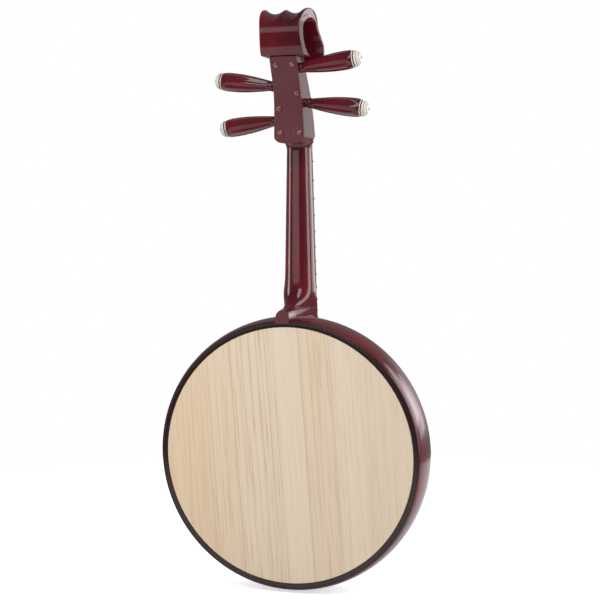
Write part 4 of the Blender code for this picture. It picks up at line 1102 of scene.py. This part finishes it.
class ZHONGRUAN_OT_head(bpy.types.Operator):
    """Carve the hooded head: rolled over from back to front, with two gouged flutes"""
    bl_idname = "zhongruan.head"
    bl_label = "Head"

    def execute(self, context):
        head = context.scene.zhongruan_head
        across = 96
        rings = []
        for ou, od, iu, idp, hw, share in smooth_path(HEAD_STATIONS, 8):
            du, dd = iu - ou, idp - od
            thick = math.hypot(du, dd)
            ease = min(0.0016, thick * 0.22)
            middle = 0.47 * hw
            inner_w = middle / math.sqrt(1 - head.mid_drop / head.flute_depth)
            row = []
            for i in range(across + 1):
                x = 1 - 2 * i / across
                flute = abs(abs(x * hw) - middle)
                reach = inner_w if abs(x * hw) < middle else middle
                cut = max(share - (flute / reach) ** 2, 0.0) * head.flute_depth
                row.append((x * (hw - ease), cut))
            edge = []
            for k in range(6):
                a = 0.5 * math.pi * k / 5
                edge.append((hw - ease + ease * math.sin(a), ease - ease * math.cos(a)))
            row += [(-x, t) for x, t in edge[1:]]
            row += [(-x, thick - t) for x, t in reversed(edge)]
            row += [(x, thick) for x in (-0.6 * hw, -0.3 * hw, 0, 0.3 * hw, 0.6 * hw)]
            row += [(x, thick - t) for x, t in edge]
            row += [(x, t) for x, t in reversed(edge[1:])]
            rings.append([(x, depth(od + dd * t / thick), BOX_TOP_Z + GAP + ou + du * t / thick)
                          for x, t in row])
        bm = lofted(rings)
        notches = []
        for side in (1, -1):
            seat = Vector((side * 0.0190, depth(0.070), BOX_TOP_Z - 0.0115))
            notches.append(drilled(seat, Vector((0, 1, 0)), 0.0050, 0.025))
        bm = solid_cut(bm, notches)
        piece("head_hood", bm, lacquer(), hides=["head"], sharp=28.0)
        return {'FINISHED'}


# Stage
CAMERA_TURN = 0.31513     # radians round the instrument from straight behind
CAMERA_RISE = 0.08089
CAMERA_ROLL = -0.00811
CAMERA_OFFSET = (-0.0203515, -0.20123441, 2.2582113)


SHEET_WAY = (-0.42, -0.906, 0.0)    # from the instrument to the white sheet
GLOW_WAY = (0.29, 0.957, 0.0)       # and to the soft light beside the camera
LAMPS = (
    # place, width and height, watts
    ("left softbox", (1.96, 0.62, 0.90), (0.7, 1.8), 20.0),
    ("right softbox", (-2.05, 0.0, 1.00), (0.9, 2.0), 22.5),
    ("back softbox", (-1.54, -1.36, 1.00), (1.3, 1.1), 10.0),
    ("back panel", (-1.10, -1.62, 0.60), (0.8, 0.76), 2.7),
    ("high softbox", (-0.25, 1.50, 1.95), (1.0, 1.1), 15.0),
)


class ZHONGRUAN_OT_stage(bpy.types.Operator):
    """Set the camera behind the instrument, the pale floor and the soft studio light"""
    bl_idname = "zhongruan.stage"
    bl_label = "Camera, floor and light"

    def execute(self, context):
        scene = context.scene
        scene.view_settings.view_transform = 'Standard'

        turn, rise, roll = CAMERA_TURN, CAMERA_RISE, CAMERA_ROLL
        ahead = Vector((-math.sin(turn) * math.cos(rise), -math.sin(rise),
                        math.cos(turn) * math.cos(rise)))
        right = Vector((math.cos(turn), 0, math.sin(turn)))
        up = right.cross(ahead)
        if up.y < 0:
            up.negate()
        level = right * math.cos(roll) + up * math.sin(roll)
        upright = -right * math.sin(roll) + up * math.cos(roll)
        x, y, z = CAMERA_OFFSET
        eye = -(level * x + upright * y + ahead * z)

        def to_frame(d):
            return Vector((-d.x, -d.z, d.y))

        lens = bpy.data.cameras.new("camera")
        lens.lens, lens.sensor_width, lens.shift_y = 85.0, 36.0, 0.05
        lens.clip_start, lens.clip_end = 0.05, 60.0
        camera = bpy.data.objects.new("camera", lens)
        scene.collection.objects.link(camera)
        axes = Matrix((to_frame(level), to_frame(upright), -to_frame(ahead))).transposed()
        place = to_frame(eye) + Vector((0, BACK_Y, CENTRE_Z))
        camera.matrix_world = Matrix.Translation(place) @ axes.to_4x4()
        scene.camera = camera

        # floor: white to the eye, and still darker where the instrument shades it
        bm = bmesh.new()
        bmesh.ops.create_circle(bm, cap_ends=True, segments=64, radius=1.3,
                                matrix=Matrix.Translation((0, 0, -0.0006)))
        mesh = bpy.data.meshes.new("floor")
        bm.to_mesh(mesh)
        bm.free()
        floor = bpy.data.objects.new("floor", mesh)
        scene.collection.objects.link(floor)
        mat, tree, shader = new_material("pale floor", Base_Color=(0.8, 0.8, 0.8, 1.0),
                                         Roughness=0.9)
        seen = add(tree, "ShaderNodeLightPath")
        glow = add(tree, "ShaderNodeMath", {0: seen.outputs["Is Camera Ray"],
                                            1: seen.outputs["Is Transmission Ray"]},
                   operation='MAXIMUM').outputs[0]
        glow = add(tree, "ShaderNodeMath", {0: glow}, {1: 0.62}, operation='MULTIPLY').outputs[0]
        shader.inputs["Emission Color"].default_value = (1, 1, 1, 1)
        tree.links.new(glow, shader.inputs["Emission Strength"])
        mesh.materials.append(mat)

        # world: white to the eye; a mirror sees a white sheet behind the instrument and a dim
        # room elsewhere
        world = bpy.data.worlds.new("studio")
        scene.world = world
        world.use_nodes = True
        tree = world.node_tree
        tree.nodes.clear()
        path = add(tree, "ShaderNodeLightPath")
        way = add(tree, "ShaderNodeTexCoord").outputs["Generated"]
        toward = add(tree, "ShaderNodeVectorMath", {0: way}, {1: SHEET_WAY},
                     operation='DOT_PRODUCT').outputs["Value"]
        sheet = add(tree, "ShaderNodeMapRange", {0: toward}, {1: 0.86, 2: 0.97},
                    interpolation_type='SMOOTHSTEP').outputs[0]
        parts = add(tree, "ShaderNodeSeparateXYZ", {0: way})
        for edge, full in ((0.36, 0.20), (-0.12, 0.02)):
            part = add(tree, "ShaderNodeMapRange", {0: parts.outputs["Z"]}, {1: edge, 2: full},
                       interpolation_type='SMOOTHSTEP').outputs[0]
            sheet = add(tree, "ShaderNodeMath", {0: sheet, 1: part},
                        operation='MULTIPLY').outputs[0]
        room = add(tree, "ShaderNodeMapRange", {0: toward}, {1: -0.7, 2: 0.2, 3: 0.06, 4: 0.18},
                   interpolation_type='SMOOTHSTEP').outputs[0]
        mirror = add(tree, "ShaderNodeMix", {0: sheet, 2: room}, {3: 0.6},
                     data_type='FLOAT').outputs[0]
        toward = add(tree, "ShaderNodeVectorMath", {0: way}, {1: GLOW_WAY},
                     operation='DOT_PRODUCT').outputs["Value"]
        glow = add(tree, "ShaderNodeMapRange", {0: toward}, {1: 0.94, 2: 0.998},
                   interpolation_type='SMOOTHSTEP').outputs[0]
        above = add(tree, "ShaderNodeMapRange", {0: parts.outputs["Z"]}, {1: -0.12, 2: 0.02},
                    interpolation_type='SMOOTHSTEP').outputs[0]
        glow = add(tree, "ShaderNodeMath", {0: glow, 1: above}, operation='MULTIPLY').outputs[0]
        mirror = add(tree, "ShaderNodeMath", {0: glow, 2: mirror}, {1: 1.3},
                     operation='MULTIPLY_ADD').outputs[0]
        level = add(tree, "ShaderNodeMix", {0: path.outputs["Is Glossy Ray"], 3: mirror},
                    {2: 0.57}, data_type='FLOAT').outputs[0]
        seen = add(tree, "ShaderNodeMath", {0: path.outputs["Is Camera Ray"],
                                            1: path.outputs["Is Transmission Ray"]},
                   operation='MAXIMUM').outputs[0]
        level = add(tree, "ShaderNodeMix", {0: seen, 2: level}, {3: 1.0},
                    data_type='FLOAT').outputs[0]
        lit = add(tree, "ShaderNodeBackground", {"Strength": level},
                  {"Color": (1, 1, 1, 1)}).outputs[0]
        add(tree, "ShaderNodeOutputWorld", {"Surface": lit})

        aim = Vector((0, 0, 0.45))
        for name, spot, size, power in LAMPS:
            lamp = bpy.data.lights.new(name, 'AREA')
            lamp.shape = 'RECTANGLE'
            lamp.size, lamp.size_y = size
            lamp.energy = power
            box = bpy.data.objects.new(name, lamp)
            scene.collection.objects.link(box)
            box.location = spot
            box.rotation_euler = (aim - Vector(spot)).to_track_quat('-Z', 'Y').to_euler()
            box.visible_camera = False
        return {'FINISHED'}


class ZHONGRUAN_PT_panel(bpy.types.Panel):
    """Sizes, finishes and the steps that build the instrument"""
    bl_label = "Zhongruan"
    bl_idname = "ZHONGRUAN_PT_panel"
    bl_space_type = 'VIEW_3D'
    bl_region_type = 'UI'
    bl_category = "Zhongruan"

    def draw(self, context):
        layout = self.layout
        scene = context.scene
        for title, group in (("Body", scene.zhongruan_body), ("Pegs", scene.zhongruan_pegs),
                             ("Head", scene.zhongruan_head),
                             ("Finish", scene.zhongruan_finish)):
            box = layout.box()
            box.label(text=title)
            for key in group.__annotations__:
                box.prop(group, key)
        for step in STEPS:
            layout.operator(step.bl_idname)


STEPS = (ZHONGRUAN_OT_rim, ZHONGRUAN_OT_boards, ZHONGRUAN_OT_rosettes, ZHONGRUAN_OT_neck,
         ZHONGRUAN_OT_fittings, ZHONGRUAN_OT_pegbox, ZHONGRUAN_OT_screws, ZHONGRUAN_OT_pegs,
         ZHONGRUAN_OT_strings, ZHONGRUAN_OT_head, ZHONGRUAN_OT_stage)
GROUPS = {"zhongruan_body": ZhongruanBody, "zhongruan_pegs": ZhongruanPegs,
          "zhongruan_head": ZhongruanHead, "zhongruan_finish": ZhongruanFinish}


def register():
    for cls in (*GROUPS.values(), *STEPS, ZHONGRUAN_PT_panel):
        bpy.utils.register_class(cls)
    for name, cls in GROUPS.items():
        setattr(bpy.types.Scene, name, PointerProperty(type=cls))


def unregister():
    for name in GROUPS:
        delattr(bpy.types.Scene, name)
    for cls in (ZHONGRUAN_PT_panel, *reversed(STEPS), *GROUPS.values()):
        bpy.utils.unregister_class(cls)


def main():
    register()
    bpy.ops.zhongruan.rim()
    bpy.ops.zhongruan.boards()
    bpy.ops.zhongruan.rosettes()
    bpy.ops.zhongruan.neck()
    bpy.ops.zhongruan.fittings()
    bpy.ops.zhongruan.pegbox()
    bpy.ops.zhongruan.screws()
    bpy.ops.zhongruan.pegs()
    bpy.ops.zhongruan.strings()
    bpy.ops.zhongruan.head()
    bpy.ops.zhongruan.stage()


if __name__ == "__main__":
    main()
